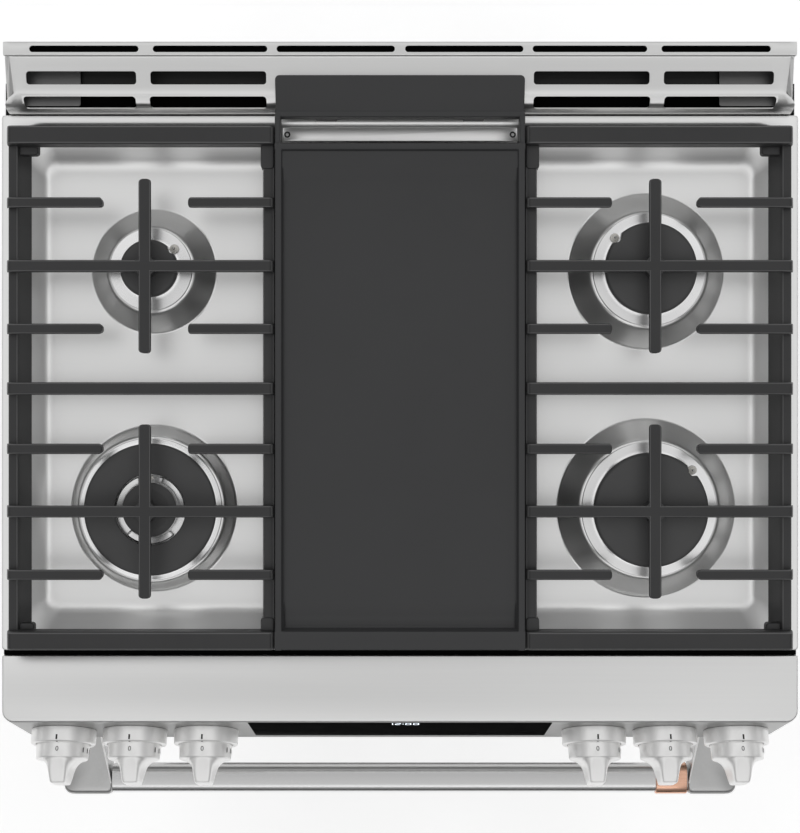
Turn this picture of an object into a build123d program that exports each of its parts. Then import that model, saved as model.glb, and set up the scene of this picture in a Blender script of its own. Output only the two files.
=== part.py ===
from build123d import *
from math import cos, sin, radians, pi, atan2, degrees
import os

os.makedirs("parts", exist_ok=True)

# ---------------------------------------------------------------- dimensions
# Millimetres. +Z up, front of the range towards -Y, origin on the floor below
# the middle of the overall box.
COOKTOP_Z = 915.0          # flange plane of the cooktop and top of the control panel
HALF_W = 381.0             # cooktop flange, half width
BODY_X = 378.0             # side panels, half width
BACK_Y = 352.0             # outside of the back panel
SHEET = 1.5                # stainless and porcelain sheet
LEG_H = 60.0               # underside of the base frame

PAN_X, PAN_Y0, PAN_Y1 = 371.0, -195.0, 310.0      # top outline of the pan recess
FLOOR_X, FLOOR_Y0, FLOOR_Y1 = 341.0, -156.0, 271.0
PAN_DEPTH = 25.0
FLOOR_Z = COOKTOP_Z - PAN_DEPTH

BURNER_X, REAR_Y, FRONT_Y = 239.0, 170.0, -60.0
# name: x, y, cap radius, head ring radius, cone foot radius
BURNERS = {
    "left_rear": (-BURNER_X, REAR_Y, 27.5, 40.0, 59.8),
    "right_rear": (BURNER_X, REAR_Y, 43.9, 54.5, 75.0),
    "right_front": (BURNER_X, FRONT_Y, 54.7, 65.2, 85.8),
    "left_front": (-BURNER_X, FRONT_Y, 63.3, 68.7, 80.0),
    "centre_rear": (0.0, REAR_Y, 36.0, 44.0, 58.0),
    "centre_front": (0.0, FRONT_Y, 36.0, 44.0, 58.0),
}
RING_Z = COOKTOP_Z - 5.0   # top of the pressed cones
# spark electrodes: offset from the burner centre and insulator radius
ELECTRODES = {
    "left_rear": (23.0, 19.4, 4.4),
    "right_rear": (-33.5, 30.0, 4.4),
    "right_front": (40.7, 37.7, 4.4),
    "left_front": (0.0, 30.2, 2.4),
    "centre_rear": (29.0, 22.0, 4.4),
    "centre_front": (29.0, 22.0, 4.4),
}
CAP_TOP = COOKTOP_Z + 10.0

TOP_FRONT_Y = -263.4       # front edge of the panel's flat top
PANEL_BACK_Y = -200.0
FASCIA_DROP = 94.0
FASCIA_Y = -299.0          # foot of the sloping fascia
PANEL_Z0 = COOKTOP_Z - FASCIA_DROP
TILT = degrees(atan2(TOP_FRONT_Y - FASCIA_Y, FASCIA_DROP))   # about 20.7 degrees
FN = (0.0, -cos(radians(TILT)), sin(radians(TILT)))          # outward normal of the fascia
FASCIA = Plane(origin=(0, TOP_FRONT_Y, COOKTOP_Z), x_dir=(1, 0, 0), z_dir=FN)
KNOB_X = (-332.2, -261.9, -191.6, 191.6, 261.9, 332.2)
KNOB_S = 51.3              # distance of the knob axes down the fascia

DOOR_Z0, DOOR_Z1 = 228.0, 814.0
DOOR_X = 376.0
DOOR_Y0, DOOR_Y1 = -297.0, -259.5      # outer and inner faces
HINGE_Y, HINGE_Z = -270.0, 250.0
HINGE_X = 348.0
HANDLE_Z = 730.0

DRAWER_Z0, DRAWER_Z1 = 90.0, 217.0

OVEN_X, OVEN_Y0, OVEN_Y1 = 305.0, -250.0, 235.0
OVEN_Z0, OVEN_Z1 = 300.0, 765.0
SUMP_Z = 252.0             # bottom of the burner compartment under the oven floor

GRATE_TOP = COOKTOP_Z + 30.0
GRATE_X0, GRATE_X1 = 118.1, 369.4
GRATE_Y0, GRATE_Y1 = -190.2, 302.0


def block(x0, x1, y0, y1, z0, z1, mode=Mode.ADD):
    """A rectangular block between opposite corners, in the active part."""
    with Locations(((x0 + x1) / 2, (y0 + y1) / 2, (z0 + z1) / 2)):
        Box(abs(x1 - x0), abs(y1 - y0), abs(z1 - z0), mode=mode)


def save(part, name):
    part.label = name
    export_step(part, "parts/" + name + ".step")


# ------------------------------------------------------------- body and base
with BuildPart() as side_panels:
    for s in (-1, 1):
        block(s * BODY_X, s * (BODY_X - 1.2), -255, 348, LEG_H + 1, 912)
        block(s * (BODY_X - 1.2), s * (BODY_X - 16), -255, -253.8, LEG_H + 1, 912)
        block(s * (BODY_X - 1.2), s * (BODY_X - 16), 346.8, 348, LEG_H + 1, 912)
        # clearance round the lower corner of the opening door and the hinge arms
        block(s * (BODY_X - 1.3), s * (BODY_X - 20), -256, -242, 214, 269, mode=Mode.SUBTRACT)
        # notches for the control panel, the cooktop's front edge and the vent trim
        block(s * (BODY_X + 1), s * (BODY_X - 20), -256, -194.3, 820.5, 915, mode=Mode.SUBTRACT)
        block(s * (BODY_X - 1.3), s * (BODY_X - 20), 340, 349, 899, 915, mode=Mode.SUBTRACT)
save(side_panels.part, "side_panels")

with BuildPart() as back_panel:
    block(-376, 376, 348.3, 349.5, 70, 905)
    # stiffening rim
    for s in (-1, 1):
        block(s * 376, s * 374.8, 349.5, BACK_Y, 70, 905)
    block(-376, 376, 349.5, BACK_Y, 70, 71.2)
    block(-376, 376, 349.5, BACK_Y, 903.8, 905)
    # cooling louvres for the fan motor
    for row in range(7):
        z = 560 + row * 14
        block(-60, 60, 347, 351, z, z + 5, mode=Mode.SUBTRACT)
    # collar of the cord gland, and the gas inlet opening
    with Locations(Plane(origin=(-280, 349, 140), x_dir=(1, 0, 0), z_dir=(0, 1, 0))):
        Cylinder(16, 6)
    with Locations(Plane(origin=(240, 349, 140), x_dir=(1, 0, 0), z_dir=(0, 1, 0))):
        Cylinder(18, 10, mode=Mode.SUBTRACT)
    with Locations(Plane(origin=(-280, 349, 140), x_dir=(1, 0, 0), z_dir=(0, 1, 0))):
        Cylinder(11.2, 10, mode=Mode.SUBTRACT)
save(back_panel.part, "back_panel")

with BuildPart() as base_frame:
    # floor tray with turned-up flanges
    block(-376, 376, -226, 346, LEG_H, LEG_H + 2)
    for s in (-1, 1):
        block(s * 376, s * 374, -226, 346, LEG_H + 2, 84)
    block(-374, 374, 344, 346, LEG_H + 2, 84)
    # toe kick
    block(-374, 374, -226, -224, 30, 84)
    block(-374, 374, -224, -210, 30, 31.5)
    # leg bushes
    for x in (-340, 340):
        for y in (-185, 310):
            with Locations((x, y, LEG_H - 6)):
                Cylinder(16, 12)
            with Locations((x, y, LEG_H)):
                Cylinder(6.3, 40, mode=Mode.SUBTRACT)
save(base_frame.part, "base_frame")

with BuildPart() as levelling_legs:
    for x in (-340, 340):
        for y in (-185, 310):
            with BuildSketch(Plane.XY):
                with Locations((x, y)):
                    Circle(19)
            extrude(amount=10, taper=6)
            with Locations((x, y, 10)):
                Cylinder(10, 14, align=(Align.CENTER, Align.CENTER, Align.MIN))
            with Locations((x, y, 24)):
                Cylinder(6.0, 56, align=(Align.CENTER, Align.CENTER, Align.MIN))
save(levelling_legs.part, "levelling_legs")

# ------------------------------------------------------------------ the oven
with BuildPart() as oven_liner:
    # outer skin of the cavity and the burner compartment below it
    block(-OVEN_X - SHEET, OVEN_X + SHEET, OVEN_Y0, OVEN_Y1 + SHEET, SUMP_Z, OVEN_Z1 + SHEET)
    # front frame round the mouth
    block(-373, 373, OVEN_Y0 - SHEET, OVEN_Y0, 270, 812)
    block(-OVEN_X, OVEN_X, OVEN_Y0 - 5, OVEN_Y1, OVEN_Z0 + 0.01, OVEN_Z1, mode=Mode.SUBTRACT)
    block(-OVEN_X, OVEN_X, -225, OVEN_Y1, SUMP_Z + SHEET, OVEN_Z0 + 1, mode=Mode.SUBTRACT)
    # front corner of the compartment set back behind the swing of the door
    block(-OVEN_X - 2, OVEN_X + 2, OVEN_Y0 - 0.01, -240, SUMP_Z - 1, 270, mode=Mode.SUBTRACT)
    block(-OVEN_X - 2, OVEN_X + 2, OVEN_Y0 - 0.01, -226.5, SUMP_Z - 1, OVEN_Z0 - 1.5, mode=Mode.SUBTRACT)
    # ledge that the floor plate lies on
    for s in (-1, 1):
        block(s * OVEN_X, s * 292, -225, OVEN_Y1, OVEN_Z0 - 3.5, OVEN_Z0 - 2)
    # pressed rack guides, six heights on each side
    for s in (-1, 1):
        for z in (360, 420, 480, 540, 600, 660):
            block(s * OVEN_X, s * 296, -225, 205, z, z + 4)
    # fan shaft, lamp and probe openings in the rear wall, flue opening in the roof
    with Locations(Plane(origin=(0, OVEN_Y1, 540), x_dir=(1, 0, 0), z_dir=(0, 1, 0))):
        Cylinder(8, 10, mode=Mode.SUBTRACT)
    with Locations(Plane(origin=(-220, OVEN_Y1, 690), x_dir=(1, 0, 0), z_dir=(0, 1, 0))):
        Cylinder(26, 10, mode=Mode.SUBTRACT)
    with Locations(Plane(origin=(220, OVEN_Y1, 700), x_dir=(1, 0, 0), z_dir=(0, 1, 0))):
        Cylinder(5, 10, mode=Mode.SUBTRACT)
    block(-100, 100, 180, 215, OVEN_Z1 - 1, OVEN_Z1 + 3, mode=Mode.SUBTRACT)
    # burner tubes enter through the rear wall
    with Locations(Plane(origin=(150, OVEN_Y1, 275), x_dir=(1, 0, 0), z_dir=(0, 1, 0)),
                   Plane(origin=(150, OVEN_Y1, 742), x_dir=(1, 0, 0), z_dir=(0, 1, 0))):
        Cylinder(12, 10, mode=Mode.SUBTRACT)
save(oven_liner.part, "oven_liner")

with BuildPart() as oven_floor_plate:
    block(-303, 303, -224, 233, OVEN_Z0 - 1.7, OVEN_Z0)
    for s in (-1, 1):
        for i in range(9):
            y = -170 + i * 42
            block(s * 272, s * 296, y, y + 22, OVEN_Z0 - 3, OVEN_Z0 + 1, mode=Mode.SUBTRACT)
save(oven_floor_plate.part, "oven_floor_plate")

with BuildPart() as insulation:
    block(-343.5, 343.5, -238, 288, 240, 806)
    block(-OVEN_X - 2, OVEN_X + 2, -240, OVEN_Y1 + 2, SUMP_Z - 0.5, OVEN_Z1 + 2, mode=Mode.SUBTRACT)
    block(-346, 346, -239, -220, 239, 272, mode=Mode.SUBTRACT)
    with Locations(Plane(origin=(0, 262, 540), x_dir=(1, 0, 0), z_dir=(0, 1, 0))):
        Cylinder(9, 70, mode=Mode.SUBTRACT)
    with Locations(Plane(origin=(-220, 262, 690), x_dir=(1, 0, 0), z_dir=(0, 1, 0))):
        Cylinder(27, 70, mode=Mode.SUBTRACT)
    with Locations(Plane(origin=(220, 262, 700), x_dir=(1, 0, 0), z_dir=(0, 1, 0))):
        Cylinder(6, 70, mode=Mode.SUBTRACT)
    with Locations(Plane(origin=(150, 262, 275), x_dir=(1, 0, 0), z_dir=(0, 1, 0)),
                   Plane(origin=(150, 262, 742), x_dir=(1, 0, 0), z_dir=(0, 1, 0))):
        Cylinder(13, 70, mode=Mode.SUBTRACT)
    block(-104, 104, 176, 219, 760, 810, mode=Mode.SUBTRACT)
save(insulation.part, "insulation")

with BuildPart() as fan_cover:
    block(-125, 125, 203, 204.2, 425, 655)
    for s in (-1, 1):
        block(s * 125, s * 123.8, 203, 234.6, 425, 655)
    block(-125, 125, 203, 234.6, 425, 426.2)
    block(-125, 125, 203, 234.6, 653.8, 655)
    # intake slots in rings round the fan axis
    with BuildSketch(Plane(origin=(0, 200, 540), x_dir=(1, 0, 0), z_dir=(0, 1, 0))):
        with PolarLocations(34, 12):
            SlotOverall(22, 6)
        with PolarLocations(60, 16):
            SlotOverall(20, 6)
    extrude(amount=8, mode=Mode.SUBTRACT)
    # outlet slots on the two ends
    for s in (-1, 1):
        for i in range(7):
            z = 445 + i * 29
            block(s * 120, s * 127, 210, 228, z, z + 12, mode=Mode.SUBTRACT)
save(fan_cover.part, "fan_cover")

with BuildPart() as convection_fan:
    with Locations(Plane(origin=(0, 215, 540), x_dir=(1, 0, 0), z_dir=(0, 1, 0))):
        Cylinder(12, 12, align=(Align.CENTER, Align.CENTER, Align.MIN))
        Cylinder(72, 1.2, align=(Align.CENTER, Align.CENTER, Align.MIN))
    for k in range(12):
        a = radians(k * 30)
        with Locations(Location((56 * cos(a), 219.5, 540 - 56 * sin(a)), (0, degrees(a), 0))):
            Box(30, 8, 1.4)
    # shaft through the rear wall
    with Locations(Plane(origin=(0, 216, 540), x_dir=(1, 0, 0), z_dir=(0, 1, 0))):
        Cylinder(4.0, 79, align=(Align.CENTER, Align.CENTER, Align.MIN))
save(convection_fan.part, "convection_fan")

with BuildPart() as fan_motor:
    with Locations(Plane(origin=(0, 296, 540), x_dir=(1, 0, 0), z_dir=(0, 1, 0))):
        Cylinder(34, 38, align=(Align.CENTER, Align.CENTER, Align.MIN))
    block(-46, 46, 290, 296, 532, 548)
    with Locations(Plane(origin=(0, 289, 540), x_dir=(1, 0, 0), z_dir=(0, 1, 0))):
        Cylinder(4.05, 12, align=(Align.CENTER, Align.CENTER, Align.MIN), mode=Mode.SUBTRACT)
save(fan_motor.part, "fan_motor")

with BuildPart() as bake_burner:
    with BuildLine():
        FilletPolyline((150, 340, 275), (150, -170, 275), (-150, -170, 275), (-150, 190, 275), radius=30)
    with BuildSketch(Plane(origin=(150, 340, 275), x_dir=(1, 0, 0), z_dir=(0, -1, 0))):
        Circle(9)
    sweep()
save(bake_burner.part, "bake_burner")

with BuildPart() as broil_burner:
    with BuildLine():
        FilletPolyline((150, 340, 742), (150, -120, 742), (-150, -120, 742), (-150, 150, 742), radius=30)
    with BuildSketch(Plane(origin=(150, 340, 742), x_dir=(1, 0, 0), z_dir=(0, -1, 0))):
        Circle(8)
    sweep()
    block(-120, 120, -100, 120, 738, 739.5)
    block(-135, 135, 20, 24, 739.5, 745)
    for s in (-1, 1):
        block(s * 110, s * 150, 20, 24, 739.5, 744)
        block(s * 110, s * 150, -84, -80, 739.5, 744)
save(broil_burner.part, "broil_burner")

with BuildPart() as oven_lamp:
    with Locations(Plane(origin=(-220, 228, 690), x_dir=(1, 0, 0), z_dir=(0, 1, 0))):
        Cylinder(32, 6.6, align=(Align.CENTER, Align.CENTER, Align.MIN))
    with Locations(Plane(origin=(-220, 222, 690), x_dir=(1, 0, 0), z_dir=(0, 1, 0))):
        Cylinder(24, 6, align=(Align.CENTER, Align.CENTER, Align.MIN))
    with Locations(Plane(origin=(-220, 234.6, 690), x_dir=(1, 0, 0), z_dir=(0, 1, 0))):
        Cylinder(25, 70, align=(Align.CENTER, Align.CENTER, Align.MIN))
save(oven_lamp.part, "oven_lamp")

with BuildPart() as temperature_probe:
    with Locations(Plane(origin=(220, 130, 700), x_dir=(1, 0, 0), z_dir=(0, 1, 0))):
        Cylinder(3, 175, align=(Align.CENTER, Align.CENTER, Align.MIN))
    with Locations(Plane(origin=(220, 233, 700), x_dir=(1, 0, 0), z_dir=(0, 1, 0))):
        Cylinder(9, 1.8, align=(Align.CENTER, Align.CENTER, Align.MIN))
save(temperature_probe.part, "temperature_probe")

with BuildPart() as flue_duct:
    # from the oven roof, back and up to the rear trim
    with BuildSketch(Plane.YZ):
        with BuildLine():
            Polyline((178, 767), (178, 835), (300, 868), (322, 868), (322, 912), (345, 912), (345, 843), (217, 808), (217, 767), close=True)
        make_face()
    extrude(amount=102, both=True)
    with BuildSketch(Plane.YZ):
        with BuildLine():
            Polyline((179.2, 760), (179.2, 834), (300, 866.8), (323.2, 866.8), (323.2, 920), (343.8, 920), (343.8, 844), (215.8, 809), (215.8, 760), close=True)
        make_face()
    extrude(amount=100.8, both=True, mode=Mode.SUBTRACT)
save(flue_duct.part, "flue_duct")

with BuildPart() as door_gasket:
    with BuildSketch(Plane(origin=(0, -251.8, 0), x_dir=(1, 0, 0), z_dir=(0, -1, 0))):
        with Locations((0, 533)):
            RectangleRounded(2 * 330, 500, 24)
            RectangleRounded(2 * 318, 476, 16, mode=Mode.SUBTRACT)
    extrude(amount=7.2)
save(door_gasket.part, "door_gasket")

# -------------------------------------------------------------------- racks
def rack_block(z):
    # side rails, resting on the pressed guides of the liner
    for s in (-1, 1):
        block(s * 296.5, s * 302, -222, 196, z, z + 6)
    block(-302, 302, -222, -216, z, z + 6)
    block(-302, 302, 190, 196, z, z + 6)
    block(-302, 302, -14, -9, z + 1, z + 4.5)
    # raised back stop
    block(-300, 300, 190, 194, z + 6, z + 22)
    with Locations(*[(x, -13, z + 4.5) for x in range(-285, 286, 30)]):
        Box(3, 412, 3)


with BuildPart() as oven_rack_lower:
    rack_block(364.3)
save(oven_rack_lower.part, "oven_rack_lower")
with BuildPart() as oven_rack_upper:
    rack_block(604.3)
save(oven_rack_upper.part, "oven_rack_upper")

# --------------------------------------------------------------------- door
with BuildPart() as door_outer_panel:
    block(-DOOR_X, DOOR_X, DOOR_Y0, -262, DOOR_Z0, DOOR_Z1)
    fillet(door_outer_panel.edges().filter_by(Axis.X).group_by(Axis.Y)[0], 7)
    fillet(door_outer_panel.edges().filter_by(Axis.Z).group_by(Axis.Y)[0], 6)
    block(-DOOR_X + SHEET, DOOR_X - SHEET, -293.5, -250, DOOR_Z0 + SHEET, DOOR_Z1 - SHEET, mode=Mode.SUBTRACT)
    # window opening
    with BuildSketch(Plane(origin=(0, DOOR_Y0 - 1, 0), x_dir=(1, 0, 0), z_dir=(0, -1, 0))):
        with Locations((0, 470)):
            RectangleRounded(560, 330, 18)
    extrude(amount=-8, mode=Mode.SUBTRACT)
    # slots for the hinge receivers
    for s in (-1, 1):
        block(s * (HINGE_X - 10), s * (HINGE_X + 10), -287, -258, 226, 232, mode=Mode.SUBTRACT)
    # cooling slots in the top edge
    for i in range(9):
        x = -240 + i * 60
        block(x - 22, x + 22, -284, -278, 812, 815, mode=Mode.SUBTRACT)
save(door_outer_panel.part, "door_outer_panel")

with BuildPart() as door_window_glass:
    with BuildSketch(Plane(origin=(0, -293.4, 0), x_dir=(1, 0, 0), z_dir=(0, 1, 0))):
        with Locations((0, -470)):
            RectangleRounded(600, 370, 12)
    extrude(amount=4)
save(door_window_glass.part, "door_window_glass")

with BuildPart() as door_inner_liner:
    # enamelled tray that closes the back of the door
    block(-374, 374, -261.5, DOOR_Y1, 230, 812)
    for s in (-1, 1):
        block(s * 330, s * 328.8, -285, -261.5, 270, 790)
    block(-330, 330, -285, -261.5, 788.8, 790)
    block(-330, 330, -285, -261.5, 270, 271.2)
    block(-230, 230, -265, -255, 330, 610, mode=Mode.SUBTRACT)
    for s in (-1, 1):
        block(s * (HINGE_X - 10), s * (HINGE_X + 10), -262, -259, 228, 266, mode=Mode.SUBTRACT)
save(door_inner_liner.part, "door_inner_liner")

with BuildPart() as door_inner_glass:
    block(-250, 250, -266, -262, 310, 630)
save(door_inner_glass.part, "door_inner_glass")

with BuildPart() as door_hinge_arms:
    for s in (-1, 1):
        # clevis plates inside the door, one each side of the receiver, and the pin
        for d in (-8.5, 8.5):
            block(s * HINGE_X + d - 1.5, s * HINGE_X + d + 1.5, -286, -262.2, 240, 420)
        block(s * HINGE_X - 7, s * HINGE_X + 7, -286, -283, 300, 420)
        with Locations(Plane(origin=(s * HINGE_X, HINGE_Y, HINGE_Z), x_dir=(0, 1, 0), z_dir=(1, 0, 0))):
            Cylinder(4, 22)
save(door_hinge_arms.part, "door_hinge_arms")

with BuildPart() as hinge_receivers:
    for s in (-1, 1):
        with Locations(Plane(origin=(s * HINGE_X, HINGE_Y, HINGE_Z), x_dir=(0, 1, 0), z_dir=(1, 0, 0))):
            Cylinder(8, 8)
        block(s * HINGE_X - 4, s * HINGE_X + 4, HINGE_Y, -205, HINGE_Z - 6, HINGE_Z + 6)
        with Locations(Plane(origin=(s * HINGE_X, HINGE_Y, HINGE_Z), x_dir=(0, 1, 0), z_dir=(1, 0, 0))):
            Cylinder(4.06, 30, mode=Mode.SUBTRACT)
        # spring and damper case behind the front frame
        block(s * (HINGE_X - 4), s * (HINGE_X + 12), -205, -190, 232, 330)
        block(s * (HINGE_X + 12), s * 376.6, -205, -203, 240, 320)
save(hinge_receivers.part, "hinge_receivers")

with BuildPart() as handle_bar:
    with BuildSketch(Plane(origin=(0, 0, 0), x_dir=(0, 1, 0), z_dir=(1, 0, 0))):
        with Locations((-363, HANDLE_Z)):
            RectangleRounded(30, 26, 9)
    extrude(amount=310.4, both=True)
save(handle_bar.part, "handle_bar")

with BuildPart() as handle_brackets:
    for s in (-1, 1):
        with BuildSketch(Plane.XY.offset(HANDLE_Z - 15)):
            with BuildLine():
                Polyline((s * 317, DOOR_Y0 - 0.05), (s * 310.5, -352), (s * 310.5, -377), (s * 313.5, -380),
                         (s * 359, -380), (s * 362, -377), (s * 362, DOOR_Y0 - 0.05), close=True)
            make_face()
        extrude(amount=30)
    fillet(handle_brackets.edges().filter_by(Axis.X).group_by(Axis.Y)[0], 5)
save(handle_brackets.part, "handle_brackets")

with BuildPart() as handle_band:
    with BuildSketch(Plane(origin=(276, 0, 0), x_dir=(0, 1, 0), z_dir=(1, 0, 0))):
        with Locations((-363, HANDLE_Z)):
            RectangleRounded(31.6, 27.6, 9.8)
            RectangleRounded(30.1, 26.1, 9.05, mode=Mode.SUBTRACT)
    extrude(amount=34)
save(handle_band.part, "handle_band")

# ------------------------------------------------------------------- drawer
with BuildPart() as drawer_front:
    block(-DOOR_X, DOOR_X, DOOR_Y0, -262, DRAWER_Z0, DRAWER_Z1)
    fillet(drawer_front.edges().filter_by(Axis.X).group_by(Axis.Y)[0], 6)
    fillet(drawer_front.edges().filter_by(Axis.Z).group_by(Axis.Y)[0], 6)
    block(-DOOR_X + SHEET, DOOR_X - SHEET, -293.5, -250, DRAWER_Z0 + SHEET, DRAWER_Z1 - SHEET, mode=Mode.SUBTRACT)
save(drawer_front.part, "drawer_front")

with BuildPart() as drawer_box:
    block(-330, 330, -264, 250, 98, 200)
    block(-328.8, 328.8, -262.8, 248.8, 99.2, 205, mode=Mode.SUBTRACT)
    # front fixing flange and the sliding rails on the two sides
    block(-370, 370, -263.8, -261.8, 98, 200)
    for s in (-1, 1):
        block(s * 330, s * 338, -258, 245, 140, 158)
save(drawer_box.part, "drawer_box")

with BuildPart() as drawer_slides:
    for s in (-1, 1):
        # fixed channels that wrap the moving rails
        block(s * 338.4, s * 341, -215, 300, 128, 170)
        block(s * 331, s * 338.4, -215, 300, 158.4, 160)
        block(s * 331, s * 338.4, -215, 300, 138, 139.6)
        for y in (-180, 260):
            block(s * 341, s * 376.6, y, y + 3, 130, 168)
save(drawer_slides.part, "drawer_slides")

# ------------------------------------------------------------------ cooktop
with BuildPart() as cooktop_pan:
    block(-HALF_W, HALF_W, -196.5, 317.2, COOKTOP_Z - SHEET, COOKTOP_Z)
    block(-HALF_W, HALF_W, -196.5, -195.0, 893, COOKTOP_Z)
    for s in (-1, 1):
        block(s * HALF_W, s * (HALF_W - 1.3), -196.5, 317.2, 906, COOKTOP_Z)
    with BuildSketch(Plane.XY.offset(FLOOR_Z - SHEET)):
        with Locations((0, (FLOOR_Y0 + FLOOR_Y1) / 2)):
            RectangleRounded(2 * FLOOR_X + 1, FLOOR_Y1 - FLOOR_Y0 + 1, 14)
    with BuildSketch(Plane.XY.offset(COOKTOP_Z - 0.8)):
        with Locations((0, (PAN_Y0 + PAN_Y1) / 2)):
            RectangleRounded(2 * PAN_X + 1, PAN_Y1 - PAN_Y0 + 1, 30)
    loft()
    with BuildSketch(Plane.XY.offset(FLOOR_Z)):
        with Locations((0, (FLOOR_Y0 + FLOOR_Y1) / 2)):
            RectangleRounded(2 * FLOOR_X, FLOOR_Y1 - FLOOR_Y0, 12)
    with BuildSketch(Plane.XY.offset(COOKTOP_Z + 0.01)):
        with Locations((0, (PAN_Y0 + PAN_Y1) / 2)):
            RectangleRounded(2 * PAN_X, PAN_Y1 - PAN_Y0, 30)
    loft(mode=Mode.SUBTRACT)
    # pressed cones that carry the burners
    for bx, by, cap, ring, foot in BURNERS.values():
        with Locations((bx, by, FLOOR_Z)):
            Cone(foot, ring + 1.5, PAN_DEPTH - 5, align=(Align.CENTER, Align.CENTER, Align.MIN))
    for bx, by, cap, ring, foot in BURNERS.values():
        with Locations((bx, by, FLOOR_Z - SHEET - 0.1)):
            Cone(foot - 1.5, ring, PAN_DEPTH - 5, align=(Align.CENTER, Align.CENTER, Align.MIN), mode=Mode.SUBTRACT)
        with Locations((bx, by, RING_Z)):
            Cylinder(ring - 9, 10, mode=Mode.SUBTRACT)
    for name, (bx, by, cap, ring, foot) in BURNERS.items():
        ex, ey, er = ELECTRODES[name]
        with Locations((bx + ex, by + ey, FLOOR_Z + 12)):
            Cylinder(er + 0.6, 40, mode=Mode.SUBTRACT)
    # rear fixing strip with its screw holes
    block(-112.5, 112.5, 292.4, 305.7, 902, 913)
    for s in (-1, 1):
        with Locations((s * 108, 299, 913)):
            Cylinder(3.2, 8, mode=Mode.SUBTRACT)
save(cooktop_pan.part, "cooktop_pan")

with BuildPart() as vent_trim:
    with BuildSketch(Plane.YZ):
        with BuildLine():
            Polyline((317.7, 915.3), (318.0, 921), (320.4, 928), (325.2, 933.8), (333, 938), (366.5, 943.5), (367.3, 945),
                     (379.2, 945), (380, 944.2), (380, 900), (352.6, 900), (352.6, 908), (317.7, 908), close=True)
        make_face()
    extrude(amount=371, both=True)
    with BuildSketch(Plane.YZ):
        with BuildLine():
            Polyline((319.2, 915.3), (319.5, 920.7), (321.8, 927.2), (326.2, 932.6), (333.4, 936.5), (367, 942), (367.8, 943.5),
                     (378.5, 943.5), (378.5, 890), (319.2, 890), close=True)
        make_face()
    extrude(amount=369.5, both=True, mode=Mode.SUBTRACT)
    for s in (-1, 1):
        # top ledge, sloping face and nose slots
        for x0, x1 in ((4.8, 115.4), (124.1, 231.2), (244.6, 346.8)):
            with BuildSketch(Plane.XY.offset(938)):
                with Locations((s * (x0 + x1) / 2, 372.85)):
                    SlotOverall(x1 - x0, 6.1)
            extrude(amount=12, mode=Mode.SUBTRACT)
        for x0, x1 in ((125.6, 234.3), (247.7, 351.0)):
            with BuildSketch(Plane.XY.offset(930)):
                with Locations((s * (x0 + x1) / 2, 346.9)):
                    RectangleRounded(x1 - x0, 12, 3)
            extrude(amount=20, mode=Mode.SUBTRACT)
        for x0, x1 in ((126.0, 236.0), (249.3, 355.0)):
            with BuildSketch(Plane.XY.offset(918)):
                with Locations((s * (x0 + x1) / 2, 325.5)):
                    RectangleRounded(x1 - x0, 9.7, 3)
            extrude(amount=24, mode=Mode.SUBTRACT)
save(vent_trim.part, "vent_trim")


with BuildPart() as burner_heads:
    for name, (bx, by, cap, ring, foot) in BURNERS.items():
        with Locations((bx, by, RING_Z)):
            Cylinder(ring - 0.6, 1.6, align=(Align.CENTER, Align.CENTER, Align.MIN))
            Cylinder(ring - 9.4, 3, align=(Align.CENTER, Align.CENTER, Align.MAX))
            Cylinder(13, 24, align=(Align.CENTER, Align.CENTER, Align.MAX))
        if name == "left_front":
            with Locations((bx, by, RING_Z + 1.6)):
                Cylinder(61, 2.4, align=(Align.CENTER, Align.CENTER, Align.MIN))
                Cylinder(36.5, 2.4, align=(Align.CENTER, Align.CENTER, Align.MIN), mode=Mode.SUBTRACT)
                Cylinder(24, 6.1, align=(Align.CENTER, Align.CENTER, Align.MIN))
            # flame ports through the two crowns
            with Locations((bx, by, RING_Z + 3.6)):
                with PolarLocations(61, 20):
                    Box(14, 2.4, 1.6, mode=Mode.SUBTRACT)
            with Locations((bx, by, RING_Z + 5.6)):
                with PolarLocations(24, 12):
                    Box(12, 2.0, 3, mode=Mode.SUBTRACT)
        else:
            with Locations((bx, by, RING_Z + 1.6)):
                Cylinder(cap - 2, 6.2, align=(Align.CENTER, Align.CENTER, Align.MIN))
            with Locations((bx, by, RING_Z + 5.4)):
                with PolarLocations(cap - 2, 16):
                    Box(12, 2.2, 3.6, mode=Mode.SUBTRACT)
        ex, ey, er = ELECTRODES[name]
        with Locations((bx + ex, by + ey, RING_Z)):
            Cylinder(er + 0.6, 40, mode=Mode.SUBTRACT)
save(burner_heads.part, "burner_heads")

with BuildPart() as electrodes:
    for name, (bx, by, cap, ring, foot) in BURNERS.items():
        ex, ey, er = ELECTRODES[name]
        top = RING_Z + (4.0 if name == "left_front" else 7.0)
        with Locations((bx + ex, by + ey, 892)):
            Cylinder(er, top - 892, align=(Align.CENTER, Align.CENTER, Align.MIN))
        with Locations((bx + ex, by + ey, top)):
            Cylinder(1.3, 4, align=(Align.CENTER, Align.CENTER, Align.MIN))
save(electrodes.part, "electrodes")


def round_cap(bx, by, r, z0, z1, hole=0.0):
    """A burner cap: a disc with a rounded top rim, and a hole in a ring cap."""
    h = z1 - z0
    rim = [(r, 0), (r, h * 0.5), (r - 1.0, h * 0.85), (r - 3.0, h)]
    inner = [(hole + 1.2, h), (hole, h * 0.6), (hole, 0)] if hole else [(0, h), (0, 0)]
    with BuildSketch(Plane(origin=(bx, by, z0), x_dir=(1, 0, 0), z_dir=(0, -1, 0))) as profile:
        with BuildLine():
            Polyline(*rim, *inner, close=True)
        make_face()
    revolve(profile.sketch, axis=Axis((bx, by, 0), (0, 0, 1)))


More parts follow.
